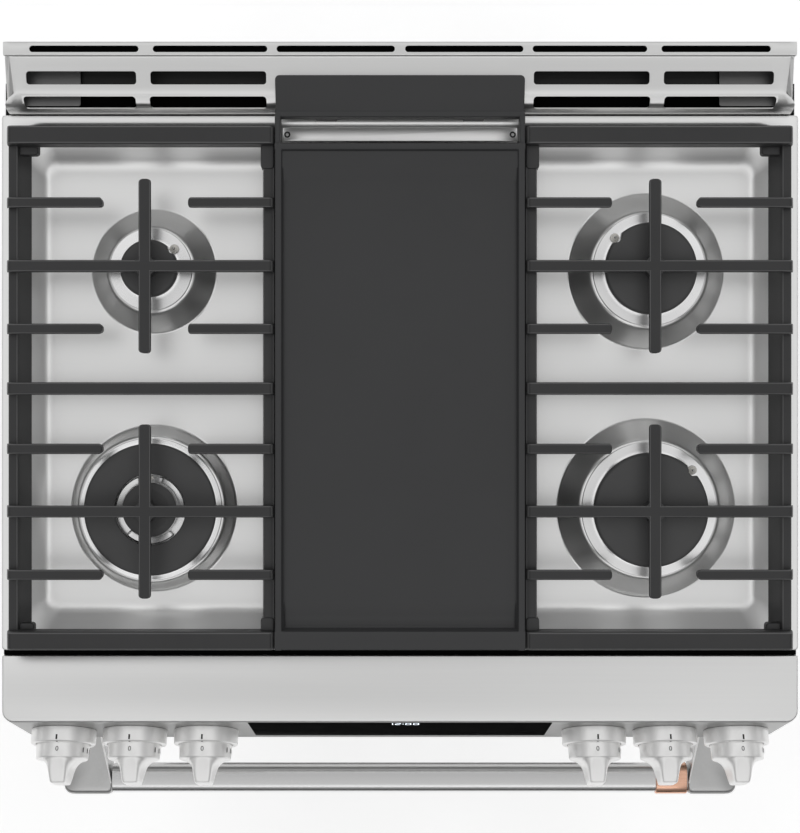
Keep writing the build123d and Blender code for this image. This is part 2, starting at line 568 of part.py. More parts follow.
def cap_group(names):
    for name in names:
        bx, by, cap, ring, foot = BURNERS[name]
        if name == "left_front":
            round_cap(bx, by, cap, RING_Z + 4.3, COOKTOP_Z + 2, 33.9)
            round_cap(bx, by, 26.0, RING_Z + 8.0, COOKTOP_Z + 7)
        else:
            round_cap(bx, by, cap, RING_Z + 8.1, CAP_TOP)
            ex, ey, er = ELECTRODES[name]
            with Locations((bx + ex, by + ey, CAP_TOP)):
                Cylinder(er + 1.4, 40, mode=Mode.SUBTRACT)


with BuildPart() as burner_caps_left:
    cap_group(("left_rear", "left_front"))
save(burner_caps_left.part, "burner_caps_left")
with BuildPart() as burner_caps_right:
    cap_group(("right_rear", "right_front"))
save(burner_caps_right.part, "burner_caps_right")
with BuildPart() as burner_caps_centre:
    cap_group(("centre_rear", "centre_front"))
save(burner_caps_centre.part, "burner_caps_centre")


# ------------------------------------------------------------------- grates
def grate_bars(s):
    """One continuous grate; s is -1 on the left and +1 on the right."""
    zb = COOKTOP_Z + 16.0
    x_in, x_out = s * GRATE_X0, s * GRATE_X1
    # front, middle and rear frame bars, and the cross bars over the burners
    for y, w in ((-181.3, 17.6), (292.9, 17.6), (55.2, 11.8), (REAR_Y, 11.2), (FRONT_Y, 11.2)):
        block(x_in, x_out, y - w / 2, y + w / 2, zb, GRATE_TOP)
    # side rails, a little lower than the bars
    block(s * 360.0, x_out, GRATE_Y0, GRATE_Y1, zb - 6, COOKTOP_Z + 22)
    block(x_in, s * 128.6, GRATE_Y0, GRATE_Y1, zb - 6, COOKTOP_Z + 22)
    # fingers from the two rails
    for y in (229.4, 111.1, -1.3, -119.2):
        block(x_out, s * 279.1, y - 4.9, y + 4.9, zb, GRATE_TOP)
        block(x_in, s * 198.5, y - 4.9, y + 4.9, zb, GRATE_TOP)
    # fore-and-aft fingers through the middle of each burner
    for yc in (REAR_Y, FRONT_Y):
        block(s * 233.1, s * 244.9, yc - 81.6, yc + 81.6, zb, GRATE_TOP)
    # corner feet, down to the sloping sides of the pan
    for y in (-178.0, 288.0):
        for x in (122.5, 362.5):
            block(s * (x - 4), s * (x + 4), y - 6, y + 6, COOKTOP_Z + 0.3 if x > 300 else COOKTOP_Z - 2, zb)


with BuildPart() as grate_left:
    grate_bars(-1)
save(grate_left.part, "grate_left")
with BuildPart() as grate_right:
    grate_bars(1)
save(grate_right.part, "grate_right")

with BuildPart() as griddle:
    RIM = COOKTOP_Z + 31.0
    block(-117.2, 117.2, -189.7, 316.0, RIM - 15, RIM)
    fillet(griddle.edges().filter_by(Axis.Z), 5)
    # cooking surface: front trough, slope up to the flat, and slope up to the rear ledge
    with BuildSketch(Plane.YZ):
        with BuildLine():
            Polyline((-171.7, RIM + 1), (-171.7, RIM - 10), (-158.7, RIM - 10), (-145.3, RIM - 7), (251.5, RIM - 7),
                     (264.5, RIM - 2), (277.8, RIM - 2), (277.8, RIM + 1), close=True)
        make_face()
    extrude(amount=110.4, both=True, mode=Mode.SUBTRACT)
    # slot behind the crossbar
    block(-112, 112, 285, 310, RIM - 20, RIM + 2, mode=Mode.SUBTRACT)
    block(-120, 120, 309.9, 317, RIM - 3.5, RIM + 2, mode=Mode.SUBTRACT)
    # raised rear flange over the vent trim
    with BuildSketch(Plane.YZ):
        with BuildLine():
            Polyline((311, RIM - 6.5), (316, RIM - 5), (346.6, RIM + 4.2), (345.8, RIM + 7.0), (315.2, RIM - 2), (311, RIM - 3.5), close=True)
        make_face()
    extrude(amount=116.4, both=True)
    # four feet
    for s in (-1, 1):
        block(s * 85, s * 103, -186, -177, COOKTOP_Z - 4.5, RIM - 14)
        block(s * 60, s * 80, 296 + 15, 314, COOKTOP_Z + 0.3, RIM - 14)
    # hollow underside between the stiffening rims
    block(-108, 108, -160, 270, RIM - 16, RIM - 12, mode=Mode.SUBTRACT)
save(griddle.part, "griddle")

# ------------------------------------------------------------ control panel
with BuildPart() as control_panel:
    with BuildSketch(Plane.YZ):
        with BuildLine():
            Polyline((PANEL_BACK_Y, COOKTOP_Z), (TOP_FRONT_Y, COOKTOP_Z), (FASCIA_Y, PANEL_Z0), (PANEL_BACK_Y, PANEL_Z0), close=True)
        make_face()
    extrude(amount=HALF_W, both=True)
    corner = [e for e in control_panel.edges() if abs(abs(e.center().X) - HALF_W) < 0.1 and abs(e.center().Y + 281.2) < 1.0]
    fillet(corner, 8)
    with BuildSketch(Plane.YZ):
        with BuildLine():
            Polyline((-198.5, 913.5), (-262.36, 913.5), (-296.75, PANEL_Z0 + SHEET), (-264, PANEL_Z0 + SHEET), (-264, PANEL_Z0 - 2),
                     (-198.5, PANEL_Z0 - 2), close=True)
        make_face()
    extrude(amount=HALF_W - 5.5, both=True, mode=Mode.SUBTRACT)
    with Locations(FASCIA):
        with Locations((0, -44.2, 0)):
            Box(292, 81.6, 12, mode=Mode.SUBTRACT)
        with Locations(*[(x, -KNOB_S, 0) for x in KNOB_X]):
            Cylinder(5.2, 12, mode=Mode.SUBTRACT)
save(control_panel.part, "control_panel")

with BuildPart() as display_glass:
    with Locations(FASCIA):
        with Locations((0, -44.2, -1.4)):
            Box(291.6, 81.2, 3)
save(display_glass.part, "display_glass")

with BuildPart() as knob_bezels:
    with Locations(FASCIA):
        with Locations(*[(x, -KNOB_S, 0.02) for x in KNOB_X]):
            Cylinder(31.4, 14.8, align=(Align.CENTER, Align.CENTER, Align.MIN))
    fillet(knob_bezels.edges().filter_by(GeomType.CIRCLE).group_by(Axis(origin=(0, TOP_FRONT_Y, COOKTOP_Z), direction=FN))[-1], 1.6)
    with Locations(FASCIA):
        with Locations(*[(x, -KNOB_S, 0) for x in KNOB_X]):
            Cylinder(26.5, 40, align=(Align.CENTER, Align.CENTER, Align.MIN), mode=Mode.SUBTRACT)
save(knob_bezels.part, "knob_bezels")

for number, kx in enumerate(KNOB_X, start=1):
    # local axes: X to the right, Z out along the stem
    KP = Plane(origin=FASCIA.from_local_coords(Vector(kx, -KNOB_S, 0)), x_dir=(1, 0, 0), z_dir=FN)
    side = Plane(origin=KP.origin, x_dir=(1, 0, 0), z_dir=KP.y_dir * -1)
    with BuildPart() as knob:
        with BuildSketch(side):
            with BuildLine():
                l1 = Polyline((0, 9), (24.0, 9), (26, 12.5), (25.2, 29), (24.6, 30.6), (15.2, 50.6), (13.4, 52), (0, 52), close=True)
            make_face()
        revolve(axis=Axis(KP.origin, KP.z_dir))
        # scalloped sides that leave the grip blade
        for s in (-1, 1):
            with BuildSketch(side):
                with BuildLine():
                    a = Line((s * 7.3, 53.4), (s * 9.2, 40))
                    b = RadiusArc(a @ 1, (s * 17.5, 29.6), s * 10.5)
                    c = Polyline(b @ 1, (s * 28, 29.2), (s * 28, 53.4), (s * 7.3, 53.4))
                make_face()
            extrude(amount=30, both=True, mode=Mode.SUBTRACT)
        # socket for the stem
        with Locations(KP):
            Cylinder(3.05, 33, align=(Align.CENTER, Align.CENTER, Align.MIN), mode=Mode.SUBTRACT)
            Cylinder(20, 22, align=(Align.CENTER, Align.CENTER, Align.MIN), mode=Mode.SUBTRACT)
            Cylinder(6, 33.5, align=(Align.CENTER, Align.CENTER, Align.MIN))
            Cylinder(3.05, 33, align=(Align.CENTER, Align.CENTER, Align.MIN), mode=Mode.SUBTRACT)
            Cylinder(8, 9, align=(Align.CENTER, Align.CENTER, Align.MIN), mode=Mode.SUBTRACT)
    save(knob.part, "knob_%d" % number)
    with BuildPart() as valve_stem:
        with Locations(KP.offset(-24)):
            Cylinder(3.0, 24 + 29.5, align=(Align.CENTER, Align.CENTER, Align.MIN))
        # flat of the D-shaped end
    save(valve_stem.part, "valve_stem_%d" % number)

with BuildPart() as gas_valves:
    for kx in KNOB_X:
        KP = Plane(origin=FASCIA.from_local_coords(Vector(kx, -KNOB_S, 0)), x_dir=(1, 0, 0), z_dir=FN)
        with Locations(KP.offset(-8)):
            Cylinder(13, 16, align=(Align.CENTER, Align.CENTER, Align.MAX))
            Box(34, 12, 3, align=(Align.CENTER, Align.CENTER, Align.MAX))
        with Locations(KP.offset(-24)):
            Cylinder(8, 17.2, align=(Align.CENTER, Align.CENTER, Align.MAX))
        with Locations(KP.offset(-5)):
            Cylinder(3.06, 20, align=(Align.CENTER, Align.CENTER, Align.MAX), mode=Mode.SUBTRACT)
save(gas_valves.part, "gas_valves")

MANIFOLD = FASCIA.from_local_coords(Vector(0, -KNOB_S, -52))
with BuildPart() as gas_manifold:
    with Locations(Plane(origin=MANIFOLD, x_dir=(0, 1, 0), z_dir=(1, 0, 0))):
        Cylinder(10.7, 700)
    # supply drop to the regulator at the back
    with BuildLine():
        FilletPolyline((349, MANIFOLD.Y, MANIFOLD.Z), (364, MANIFOLD.Y, MANIFOLD.Z), (364, 318, MANIFOLD.Z), (364, 318, 140), (269, 318, 140), radius=14)
    with BuildSketch(Plane(origin=(349, MANIFOLD.Y, MANIFOLD.Z), x_dir=(0, 1, 0), z_dir=(1, 0, 0))):
        Circle(7)
    sweep()
save(gas_manifold.part, "gas_manifold")

TUBES = (("left_front", 0, 848), ("left_rear", 1, 826), ("centre_front", 2, 860),
         ("centre_rear", 3, 838), ("right_rear", 4, 826), ("right_front", 5, 848))
with BuildPart() as burner_tubes:
    for name, k, z in TUBES:
        bx, by = BURNERS[name][:2]
        y0 = MANIFOLD.Y + 10.9
        with BuildLine() as route:
            FilletPolyline((KNOB_X[k], y0, MANIFOLD.Z), (KNOB_X[k], y0 + 22, MANIFOLD.Z), (KNOB_X[k], y0 + 60, z),
                           (bx, by - 22, z), (bx, by, 870), (bx, by, 885.9), radius=7)
        with BuildSketch(Plane(origin=(KNOB_X[k], y0, MANIFOLD.Z), x_dir=(1, 0, 0), z_dir=(0, 1, 0))):
            Circle(4)
        sweep(path=route.wires()[0])
save(burner_tubes.part, "burner_tubes")

with BuildPart() as pressure_regulator:
    with Locations(Plane(origin=(240, 304, 140), x_dir=(1, 0, 0), z_dir=(0, 1, 0))):
        Cylinder(28, 28, align=(Align.CENTER, Align.CENTER, Align.MIN))
        Cylinder(14, 46, align=(Align.CENTER, Align.CENTER, Align.MIN))
        # threaded inlet nipple
        Cylinder(10.67, 74, align=(Align.CENTER, Align.CENTER, Align.MIN))
    with Locations(Plane(origin=(240, 340, 140), x_dir=(1, 0, 0), z_dir=(0, 1, 0))):
        Cylinder(7.8, 40, align=(Align.CENTER, Align.CENTER, Align.MIN), mode=Mode.SUBTRACT)
save(pressure_regulator.part, "pressure_regulator")

with BuildPart() as spark_module:
    block(-70, 40, -238, -206, 872, 900)
    fillet(spark_module.edges().filter_by(Axis.Z), 3)
    for i in range(6):
        with Locations((-60 + i * 18, -222, 872)):
            Cylinder(3, 12)
save(spark_module.part, "spark_module")
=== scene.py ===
import bpy, bmesh
from math import pi, sin, cos, tan, atan2, radians, sqrt
from mathutils import Vector, Matrix


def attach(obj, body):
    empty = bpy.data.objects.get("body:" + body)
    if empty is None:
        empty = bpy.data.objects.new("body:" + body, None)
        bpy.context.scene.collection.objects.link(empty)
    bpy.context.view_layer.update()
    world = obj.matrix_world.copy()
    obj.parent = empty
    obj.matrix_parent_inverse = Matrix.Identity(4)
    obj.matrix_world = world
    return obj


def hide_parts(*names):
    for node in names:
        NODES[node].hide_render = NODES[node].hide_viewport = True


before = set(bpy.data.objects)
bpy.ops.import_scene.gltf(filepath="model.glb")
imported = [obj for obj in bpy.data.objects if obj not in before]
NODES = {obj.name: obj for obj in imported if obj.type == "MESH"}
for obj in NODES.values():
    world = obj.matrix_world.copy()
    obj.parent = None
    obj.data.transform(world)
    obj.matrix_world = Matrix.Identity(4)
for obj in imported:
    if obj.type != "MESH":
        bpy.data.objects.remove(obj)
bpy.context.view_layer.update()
MM = 0.001

# ------------------------------------------------------------------ geometry
ZP = 915.0
TILT = atan2(299.0 - 263.4, 94.0)
FN = Vector((0.0, -cos(TILT), sin(TILT)))      # outward from the fascia
FD = Vector((0.0, -sin(TILT), -cos(TILT)))     # down the fascia
FX = Vector((1.0, 0.0, 0.0))
KNOB_X = (-332.2, -261.9, -191.6, 191.6, 261.9, 332.2)
KNOB_S = 51.3


def fascia(x, s, h):
    """Millimetres across, down and out of the fascia -> millimetres in the frame."""
    p = Vector((x, -263.4, 915.0)) + FD * s + FN * h
    return (p.x, p.y, p.z)


def finish_mesh(me, angle=32.0, smooth=True):
    if smooth:
        me.polygons.foreach_set("use_smooth", [True] * len(me.polygons))
        me.set_sharp_from_angle(angle=radians(angle))
    me.update()


def make(name, verts, faces, body, mat=None, replaces=(), angle=32.0, mats=None, face_mats=None, mm=True):
    """A mesh piece from millimetre points. Faces are turned outwards."""
    me = bpy.data.meshes.new(name)
    k = MM if mm else 1.0
    me.from_pydata([(v[0] * k, v[1] * k, v[2] * k) for v in verts], [], faces)
    if mats:
        for m in mats:
            me.materials.append(m)
        if face_mats:
            me.polygons.foreach_set("material_index", face_mats)
    elif mat:
        me.materials.append(mat)
    me.validate()
    bm = bmesh.new(); bm.from_mesh(me)
    bmesh.ops.remove_doubles(bm, verts=bm.verts, dist=2e-6)
    bmesh.ops.recalc_face_normals(bm, faces=bm.faces)
    bm.to_mesh(me); bm.free()
    finish_mesh(me, angle)
    o = bpy.data.objects.new(name, me)
    bpy.context.scene.collection.objects.link(o)
    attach(o, body)
    if replaces:
        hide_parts(*replaces)
    return o


class Geo:
    """Collects points and faces of several closed parts of one piece."""
    def __init__(self):
        self.v, self.f, self.m = [], [], []
        self.mat = 0

    def add(self, verts, faces):
        b = len(self.v)
        self.v += [tuple(p) for p in verts]
        for f in faces:
            self.f.append([b + i for i in f]); self.m.append(self.mat)

    def rings(self, rings, cap0=True, cap1=True, closed=True, painted_highlight=None):
        """Joins equal rings of points with quads; an optional marker function of (ring, side) picks faces for the
        second material, used as a lighter painted highlight.
        """
        n = len(rings[0]); verts = [p for r in rings for p in r]; faces = []
        for a in range(len(rings) - 1):
            for i in range(n if closed else n - 1):
                j = (i + 1) % n
                faces.append([a * n + i, a * n + j, (a + 1) * n + j, (a + 1) * n + i])
        if cap0:
            faces.append(list(range(n))[::-1])
        if cap1:
            faces.append([(len(rings) - 1) * n + i for i in range(n)])
        self.add(verts, faces)
        if painted_highlight:
            base = len(self.m) - len(faces)
            for a in range(len(rings) - 1):
                for i in range(n if closed else n - 1):
                    if painted_highlight(a, i):
                        self.m[base + a * (n if closed else n - 1) + i] = 1

    def revolve(self, profile, cx, cy, n=96, close=False, axis=None, radial=None):
        """profile: (r, z) points; close joins the last ring to the first. radial(a, r, z) changes r."""
        rings = []
        for r, z in profile:
            ring = []
            for i in range(n):
                a = 2 * pi * i / n
                rr = radial(a, r, z) if radial else r
                ring.append((cx + rr * cos(a), cy + rr * sin(a), z))
            rings.append(ring)
        if close:
            rings.append(rings[0])
        self.rings(rings, cap0=not close and profile[0][0] > 1e-6, cap1=not close and profile[-1][0] > 1e-6)


def rrect(x0, x1, y0, y1, r, n=8):
    """Rounded rectangle outline, anticlockwise; r is one radius or four (x0y0, x1y0, x1y1, x0y1)."""
    if not isinstance(r, (list, tuple)):
        r = (r, r, r, r)
    out = []
    for (cx, cy, a0, q) in ((x1, y0, -pi / 2, 1), (x1, y1, 0, 2), (x0, y1, pi / 2, 3), (x0, y0, pi, 0)):
        rr = r[q]
        sx = -1 if cx == x1 else 1
        sy = -1 if cy == y1 else 1
        for i in range(n + 1):
            a = a0 + (pi / 2) * i / n
            out.append((cx + sx * rr + rr * cos(a), cy + sy * rr + rr * sin(a)))
    return out


def lift(outline, z):
    return [(x, y, z) for x, y in outline]


def arc(cx, cy, r, a0, a1, n):
    return [(cx + r * cos(radians(a0 + (a1 - a0) * i / n)), cy + r * sin(radians(a0 + (a1 - a0) * i / n))) for i in range(n + 1)]


# ----------------------------------------------------------------- materials
def nt(name):
    m = bpy.data.materials.new(name)
    m.use_nodes = True
    t = m.node_tree
    b = next(n for n in t.nodes if n.type == "BSDF_PRINCIPLED")
    return m, t, b


def coords(t, scale, loc=(0, 0, 0), rot=(0, 0, 0)):
    c = t.nodes.new("ShaderNodeTexCoord")
    mp = t.nodes.new("ShaderNodeMapping")
    mp.inputs["Scale"].default_value = scale
    mp.inputs["Location"].default_value = loc
    mp.inputs["Rotation"].default_value = rot
    t.links.new(c.outputs["Object"], mp.inputs["Vector"])
    return mp.outputs["Vector"]


def noise(t, vec, scale, detail=3.0, rough=0.5):
    n = t.nodes.new("ShaderNodeTexNoise")
    n.inputs["Scale"].default_value = scale
    n.inputs["Detail"].default_value = detail
    n.inputs["Roughness"].default_value = rough
    t.links.new(vec, n.inputs["Vector"])
    return n.outputs["Fac"]


def ramp(t, fac, stops):
    r = t.nodes.new("ShaderNodeValToRGB")
    e = r.color_ramp.elements
    while len(e) < len(stops):
        e.new(0.5)
    for el, (p, c) in zip(e, stops):
        el.position = p
        el.color = (c, c, c, 1) if not isinstance(c, (tuple, list)) else (*c, 1)
    t.links.new(fac, r.inputs["Fac"])
    return r.outputs["Color"]


def rng(t, fac, lo, hi):
    r = t.nodes.new("ShaderNodeMapRange")
    r.inputs["To Min"].default_value = lo
    r.inputs["To Max"].default_value = hi
    t.links.new(fac, r.inputs["Value"])
    return r.outputs["Result"]


def bump(t, b, height, strength, dist):
    n = t.nodes.new("ShaderNodeBump")
    n.inputs["Strength"].default_value = strength
    n.inputs["Distance"].default_value = dist
    t.links.new(height, n.inputs["Height"])
    t.links.new(n.outputs["Normal"], b.inputs["Normal"])
    return n


def brushed(name, colour, rough, grain=(6, 900, 900), strength=0.05, spread=0.08, tone=0.03):
    """Brushed stainless: fine lines along one axis in tone, roughness and height."""
    m, t, b = nt(name)
    b.inputs["Metallic"].default_value = 1.0
    v = coords(t, grain)
    f = noise(t, v, 1.0, 4.0, 0.6)
    big = noise(t, coords(t, (3, 3, 3)), 1.0, 2.0)
    lo = tuple(c * (1 - tone) for c in colour)
    hi = tuple(min(1, c * (1 + tone)) for c in colour)
    t.links.new(ramp(t, f, ((0.3, lo), (0.7, hi))), b.inputs["Base Color"])
    mix = t.nodes.new("ShaderNodeMath"); mix.operation = "ADD"
    t.links.new(rng(t, f, rough - spread, rough + spread), mix.inputs[0])
    t.links.new(rng(t, big, -0.02, 0.02), mix.inputs[1])
    t.links.new(mix.outputs[0], b.inputs["Roughness"])
    bump(t, b, f, strength, 0.0002)
    return m


def coated(name, colour, rough, speck=900.0, strength=0.25, dist=0.0001, metallic=0.0, vary=0.25, spec=0.5, coat=0.0, large=14.0):
    """Enamel, cast or moulded finish: fine texture, mottled tone and roughness."""
    m, t, b = nt(name)
    b.inputs["Metallic"].default_value = metallic
    b.inputs["Specular IOR Level"].default_value = spec
    b.inputs["Coat Weight"].default_value = coat
    b.inputs["Coat Roughness"].default_value = 0.12
    v = coords(t, (1, 1, 1))
    fine = noise(t, v, speck, 2.0, 0.6)
    mid = noise(t, v, large, 4.0, 0.6)
    lo = tuple(c * (1 - vary) for c in colour)
    hi = tuple(min(1, c * (1 + vary)) for c in colour)
    t.links.new(ramp(t, mid, ((0.3, lo), (0.7, hi))), b.inputs["Base Color"])
    t.links.new(rng(t, mid, max(0.03, rough - 0.08), min(1.0, rough + 0.08)), b.inputs["Roughness"])
    bump(t, b, fine, strength, dist)
    return m


STEEL = brushed("stainless_brushed", (0.80, 0.80, 0.795), 0.34, grain=(4, 500, 500), strength=0.006, spread=0.02, tone=0.008)
PAN_STEEL = brushed("stainless_pan", (0.93, 0.93, 0.925), 0.36, grain=(4, 500, 500), strength=0.002, spread=0.01, tone=0.005)
# darker copy of the panel's stainless for the fascia: painted shade
FASCIA_PAINTED_SHADE = brushed("stainless_fascia_painted_shade", (0.35, 0.35, 0.347), 0.36, grain=(4, 500, 500), strength=0.006, spread=0.02, tone=0.01)
BAFFLE = brushed("baffle_dark", (0.05, 0.05, 0.05), 0.5, grain=(4, 300, 300), strength=0.02, tone=0.1)
BAFFLE_LIGHT = brushed("baffle_plate", (0.20, 0.20, 0.20), 0.45, grain=(4, 300, 300), strength=0.02, tone=0.1)
CONE_STEEL = brushed("stainless_cone", (0.84, 0.84, 0.835), 0.32, grain=(2500, 2500, 2500), strength=0.01, spread=0.03, tone=0.01)
TRIM_STEEL = brushed("stainless_trim", (0.75, 0.75, 0.745), 0.32, grain=(4, 500, 500), strength=0.004, spread=0.015, tone=0.006)
BRIGHT = brushed("bright_ring", (0.90, 0.90, 0.90), 0.28, grain=(2500, 2500, 2500), strength=0.01, spread=0.04, tone=0.01)
KNOB = brushed("knob_satin", (0.97, 0.967, 0.96), 0.36, grain=(2500, 2500, 2500), strength=0.01, spread=0.04, tone=0.01)
KNOB.node_tree.nodes["Principled BSDF"].inputs["Metallic"].default_value = 0.55
BAR = brushed("handle_polished", (0.67, 0.67, 0.67), 0.24, grain=(4, 600, 600), strength=0.006, spread=0.02, tone=0.01)
BRACKET = brushed("bracket_satin", (0.52, 0.52, 0.517), 0.36, grain=(300, 300, 300), strength=0.03)
COPPER = brushed("copper_satin", (0.78, 0.47, 0.34), 0.26, grain=(6, 900, 900), strength=0.05, tone=0.08)
# lighter copy of the cast iron for bevels and bar ends: painted highlight
IRON_EDGE_HIGHLIGHT = coated("cast_iron_painted_edge_highlight", (0.105, 0.105, 0.106), 0.36, speck=1500.0, strength=0.2, dist=0.0001, vary=0.10, spec=0.6)
IRON = coated("cast_iron_enamel", (0.030, 0.030, 0.031), 0.42, speck=1500.0, strength=0.35, dist=0.00012, vary=0.12, spec=0.45)
CAP = coated("cap_enamel", (0.070, 0.070, 0.071), 0.50, speck=1800.0, strength=0.3, dist=0.0001, vary=0.10, spec=0.4)
GRID = coated("griddle_coating", (0.037, 0.0375, 0.039), 0.46, speck=2200.0, strength=0.30, dist=0.00008, vary=0.08, spec=0.45, large=6.0)
CASTAL = coated("cast_aluminium", (0.62, 0.62, 0.61), 0.38, speck=1200.0, strength=0.3, dist=0.0001, metallic=1.0, vary=0.06)
DARK = coated("body_enamel", (0.022, 0.022, 0.024), 0.38, speck=500.0, strength=0.1, vary=0.15, coat=0.2)
DARKIN = coated("shadow_black", (0.0015, 0.0015, 0.0015), 0.8, speck=500.0, strength=0.1, vary=0.15, spec=0.05)
ENAMEL = coated("oven_porcelain", (0.030, 0.033, 0.045), 0.18, speck=260.0, strength=0.12, vary=0.3, coat=0.6, large=300.0)
GALV = brushed("galvanised", (0.62, 0.63, 0.64), 0.42, grain=(40, 40, 40), strength=0.06, tone=0.12)
WOOL = coated("glass_wool", (0.75, 0.66, 0.35), 0.95, speck=300.0, strength=1.0, dist=0.002, vary=0.25)
CHROME = brushed("chrome_wire", (0.82, 0.82, 0.82), 0.14, grain=(300, 300, 300), strength=0.02)
FANMAT = brushed("fan_steel", (0.60, 0.60, 0.60), 0.38, grain=(300, 300, 300), strength=0.05)
TUBE = brushed("aluminised_tube", (0.55, 0.54, 0.52), 0.40, grain=(200, 200, 200), strength=0.06, tone=0.08)
RUBBER = coated("gasket_black", (0.018, 0.018, 0.018), 0.75, speck=900.0, strength=0.8, dist=0.0004, vary=0.2)
CERAMIC = coated("white_ceramic", (0.78, 0.76, 0.71), 0.25, speck=400.0, strength=0.1, vary=0.05, coat=0.3)
BRASS = brushed("brass_machined", (0.72, 0.56, 0.27), 0.30, grain=(600, 600, 600), strength=0.05)
PLASTIC = coated("module_plastic", (0.72, 0.71, 0.66), 0.5, speck=900.0, strength=0.2, vary=0.05)
ZINC = brushed("zinc_plated", (0.48, 0.48, 0.47), 0.36, grain=(200, 200, 200), strength=0.05, tone=0.08)
INK = coated("tick_black", (0.006, 0.006, 0.006), 0.6, speck=800.0, strength=0.05, vary=0.1)
GRAYINK = coated("label_grey", (0.05, 0.05, 0.05), 0.5, speck=800.0, strength=0.05, vary=0.1)


def glass_black(name, spec=0.03):
    m, t, b = nt(name)
    n = noise(t, coords(t, (1, 1, 1)), 40.0, 2.0)
    t.links.new(ramp(t, n, ((0.3, 0.004), (0.7, 0.008))), b.inputs["Base Color"])
    t.links.new(rng(t, n, 0.06, 0.11), b.inputs["Roughness"])
    b.inputs["Specular IOR Level"].default_value = spec
    return m


def glass_clear(name, tint, alpha, rough=0.04):
    m, t, b = nt(name)
    n = noise(t, coords(t, (1, 1, 1)), 30.0, 2.0)
    lo = tuple(c * 0.95 for c in tint)
    t.links.new(ramp(t, n, ((0.3, lo), (0.7, tint))), b.inputs["Base Color"])
    t.links.new(rng(t, n, rough, rough + 0.03), b.inputs["Roughness"])
    b.inputs["Alpha"].default_value = alpha
    m.surface_render_method = "BLENDED" if hasattr(m, "surface_render_method") else None
    return m


def lit(name, colour, power):
    m, t, b = nt(name)
    n = noise(t, coords(t, (1, 1, 1)), 500.0, 1.0)
    t.links.new(ramp(t, n, ((0.3, tuple(c * 0.9 for c in colour)), (0.7, colour))), b.inputs["Emission Color"])
    b.inputs["Emission Strength"].default_value = power
    b.inputs["Base Color"].default_value = (*[c * 0.3 for c in colour], 1)
    return m


BLACKGLASS = glass_black("black_glass")
BLACKGLASS.node_tree.nodes["Principled BSDF"].inputs["IOR"].default_value = 1.02
WINDOW = glass_black("window_glass", 0.5)
CLEAR = glass_clear("clear_glass", (0.80, 0.86, 0.84), 0.35)
LAMP = glass_clear("lamp_lens", (0.95, 0.93, 0.86), 0.75, 0.2)
DIGIT = lit("display_digits", (0.85, 0.92, 1.0), 2.2)

CARRIED = {
    DARK: "side_panels base_frame",
    GALV: "back_panel flue_duct drawer_box drawer_slides hinge_receivers door_hinge_arms",
    STEEL: "door_outer_panel drawer_front control_panel",
    TRIM_STEEL: "vent_trim",
    PAN_STEEL: "cooktop_pan",
    ENAMEL: "oven_liner oven_floor_plate door_inner_liner fan_cover",
    WOOL: "insulation",
    CHROME: "oven_rack_upper oven_rack_lower temperature_probe",
    FANMAT: "convection_fan fan_motor",
    TUBE: "bake_burner broil_burner burner_tubes gas_manifold",
    LAMP: "oven_lamp",
    RUBBER: "door_gasket",
    BLACKGLASS: "display_glass",
    WINDOW: "door_window_glass",
    CLEAR: "door_inner_glass",
    IRON: "grate_left grate_right",
    GRID: "griddle",
    CASTAL: "burner_heads pressure_regulator",
    CAP: "burner_caps_left burner_caps_right burner_caps_centre",
    CERAMIC: "electrodes",
    BRASS: "gas_valves valve_stem_1 valve_stem_2 valve_stem_3 valve_stem_4 valve_stem_5 valve_stem_6",
    PLASTIC: "spark_module",
    ZINC: "levelling_legs",
    KNOB: "knob_1 knob_2 knob_3 knob_4 knob_5 knob_6 knob_bezels",
    BAR: "handle_bar",
    BRACKET: "handle_brackets",
    COPPER: "handle_band",
}
for mat, names in CARRIED.items():
    for n in names.split():
        o = NODES[n]
        if not o.material_slots:
            o.data.materials.append(mat)
        for s in o.material_slots:
            s.material = mat


def bevelled(node, mat, body, slot, width=0.8, segments=2, angle=35, name=None):
    """A copy of a CAD piece with its edges broken, standing for the CAD piece."""
    src = NODES[node]
    me = src.data.copy()
    me.name = (name or node + "_detailed")
    bm = bmesh.new(); bm.from_mesh(me)
    bmesh.ops.remove_doubles(bm, verts=bm.verts, dist=1e-6)
    bmesh.ops.dissolve_limit(bm, angle_limit=radians(0.5), verts=bm.verts, edges=bm.edges)
    bm.to_mesh(me); bm.free()
    me.materials.clear(); me.materials.append(mat)
    o = bpy.data.objects.new(me.name, me)
    bpy.context.scene.collection.objects.link(o)
    md = o.modifiers.new("edges", "BEVEL")
    md.width = width * MM; md.segments = segments; md.limit_method = "ANGLE"; md.angle_limit = radians(angle)
    md.harden_normals = False; md.use_clamp_overlap = True
    bpy.context.view_layer.update()
    dg = bpy.context.evaluated_depsgraph_get()
    new = bpy.data.meshes.new_from_object(o.evaluated_get(dg))
    o.modifiers.clear(); o.data = new
    finish_mesh(new, 40)
    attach(o, body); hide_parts(node)
    return o


# ------------------------------------------------------------------ cooktop
BURNERS = {
    "left_rear": (-239.0, 170.0, 27.5, 40.0, 59.8),
    "right_rear": (239.0, 170.0, 43.9, 54.5, 75.0),
    "right_front": (239.0, -60.0, 54.7, 65.2, 85.8),
    "left_front": (-239.0, -60.0, 63.3, 68.7, 80.0),
    "centre_rear": (0.0, 170.0, 36.0, 44.0, 58.0),
    "centre_front": (0.0, -60.0, 36.0, 44.0, 58.0),
}
RING = ZP - 5.0
ELECTRODES = {
    "left_rear": (23.0, 19.4, 4.4), "right_rear": (-33.5, 30.0, 4.4), "right_front": (40.7, 37.7, 4.4),
    "left_front": (0.0, 30.2, 2.4), "centre_rear": (29.0, 22.0, 4.4), "centre_front": (29.0, 22.0, 4.4),
}


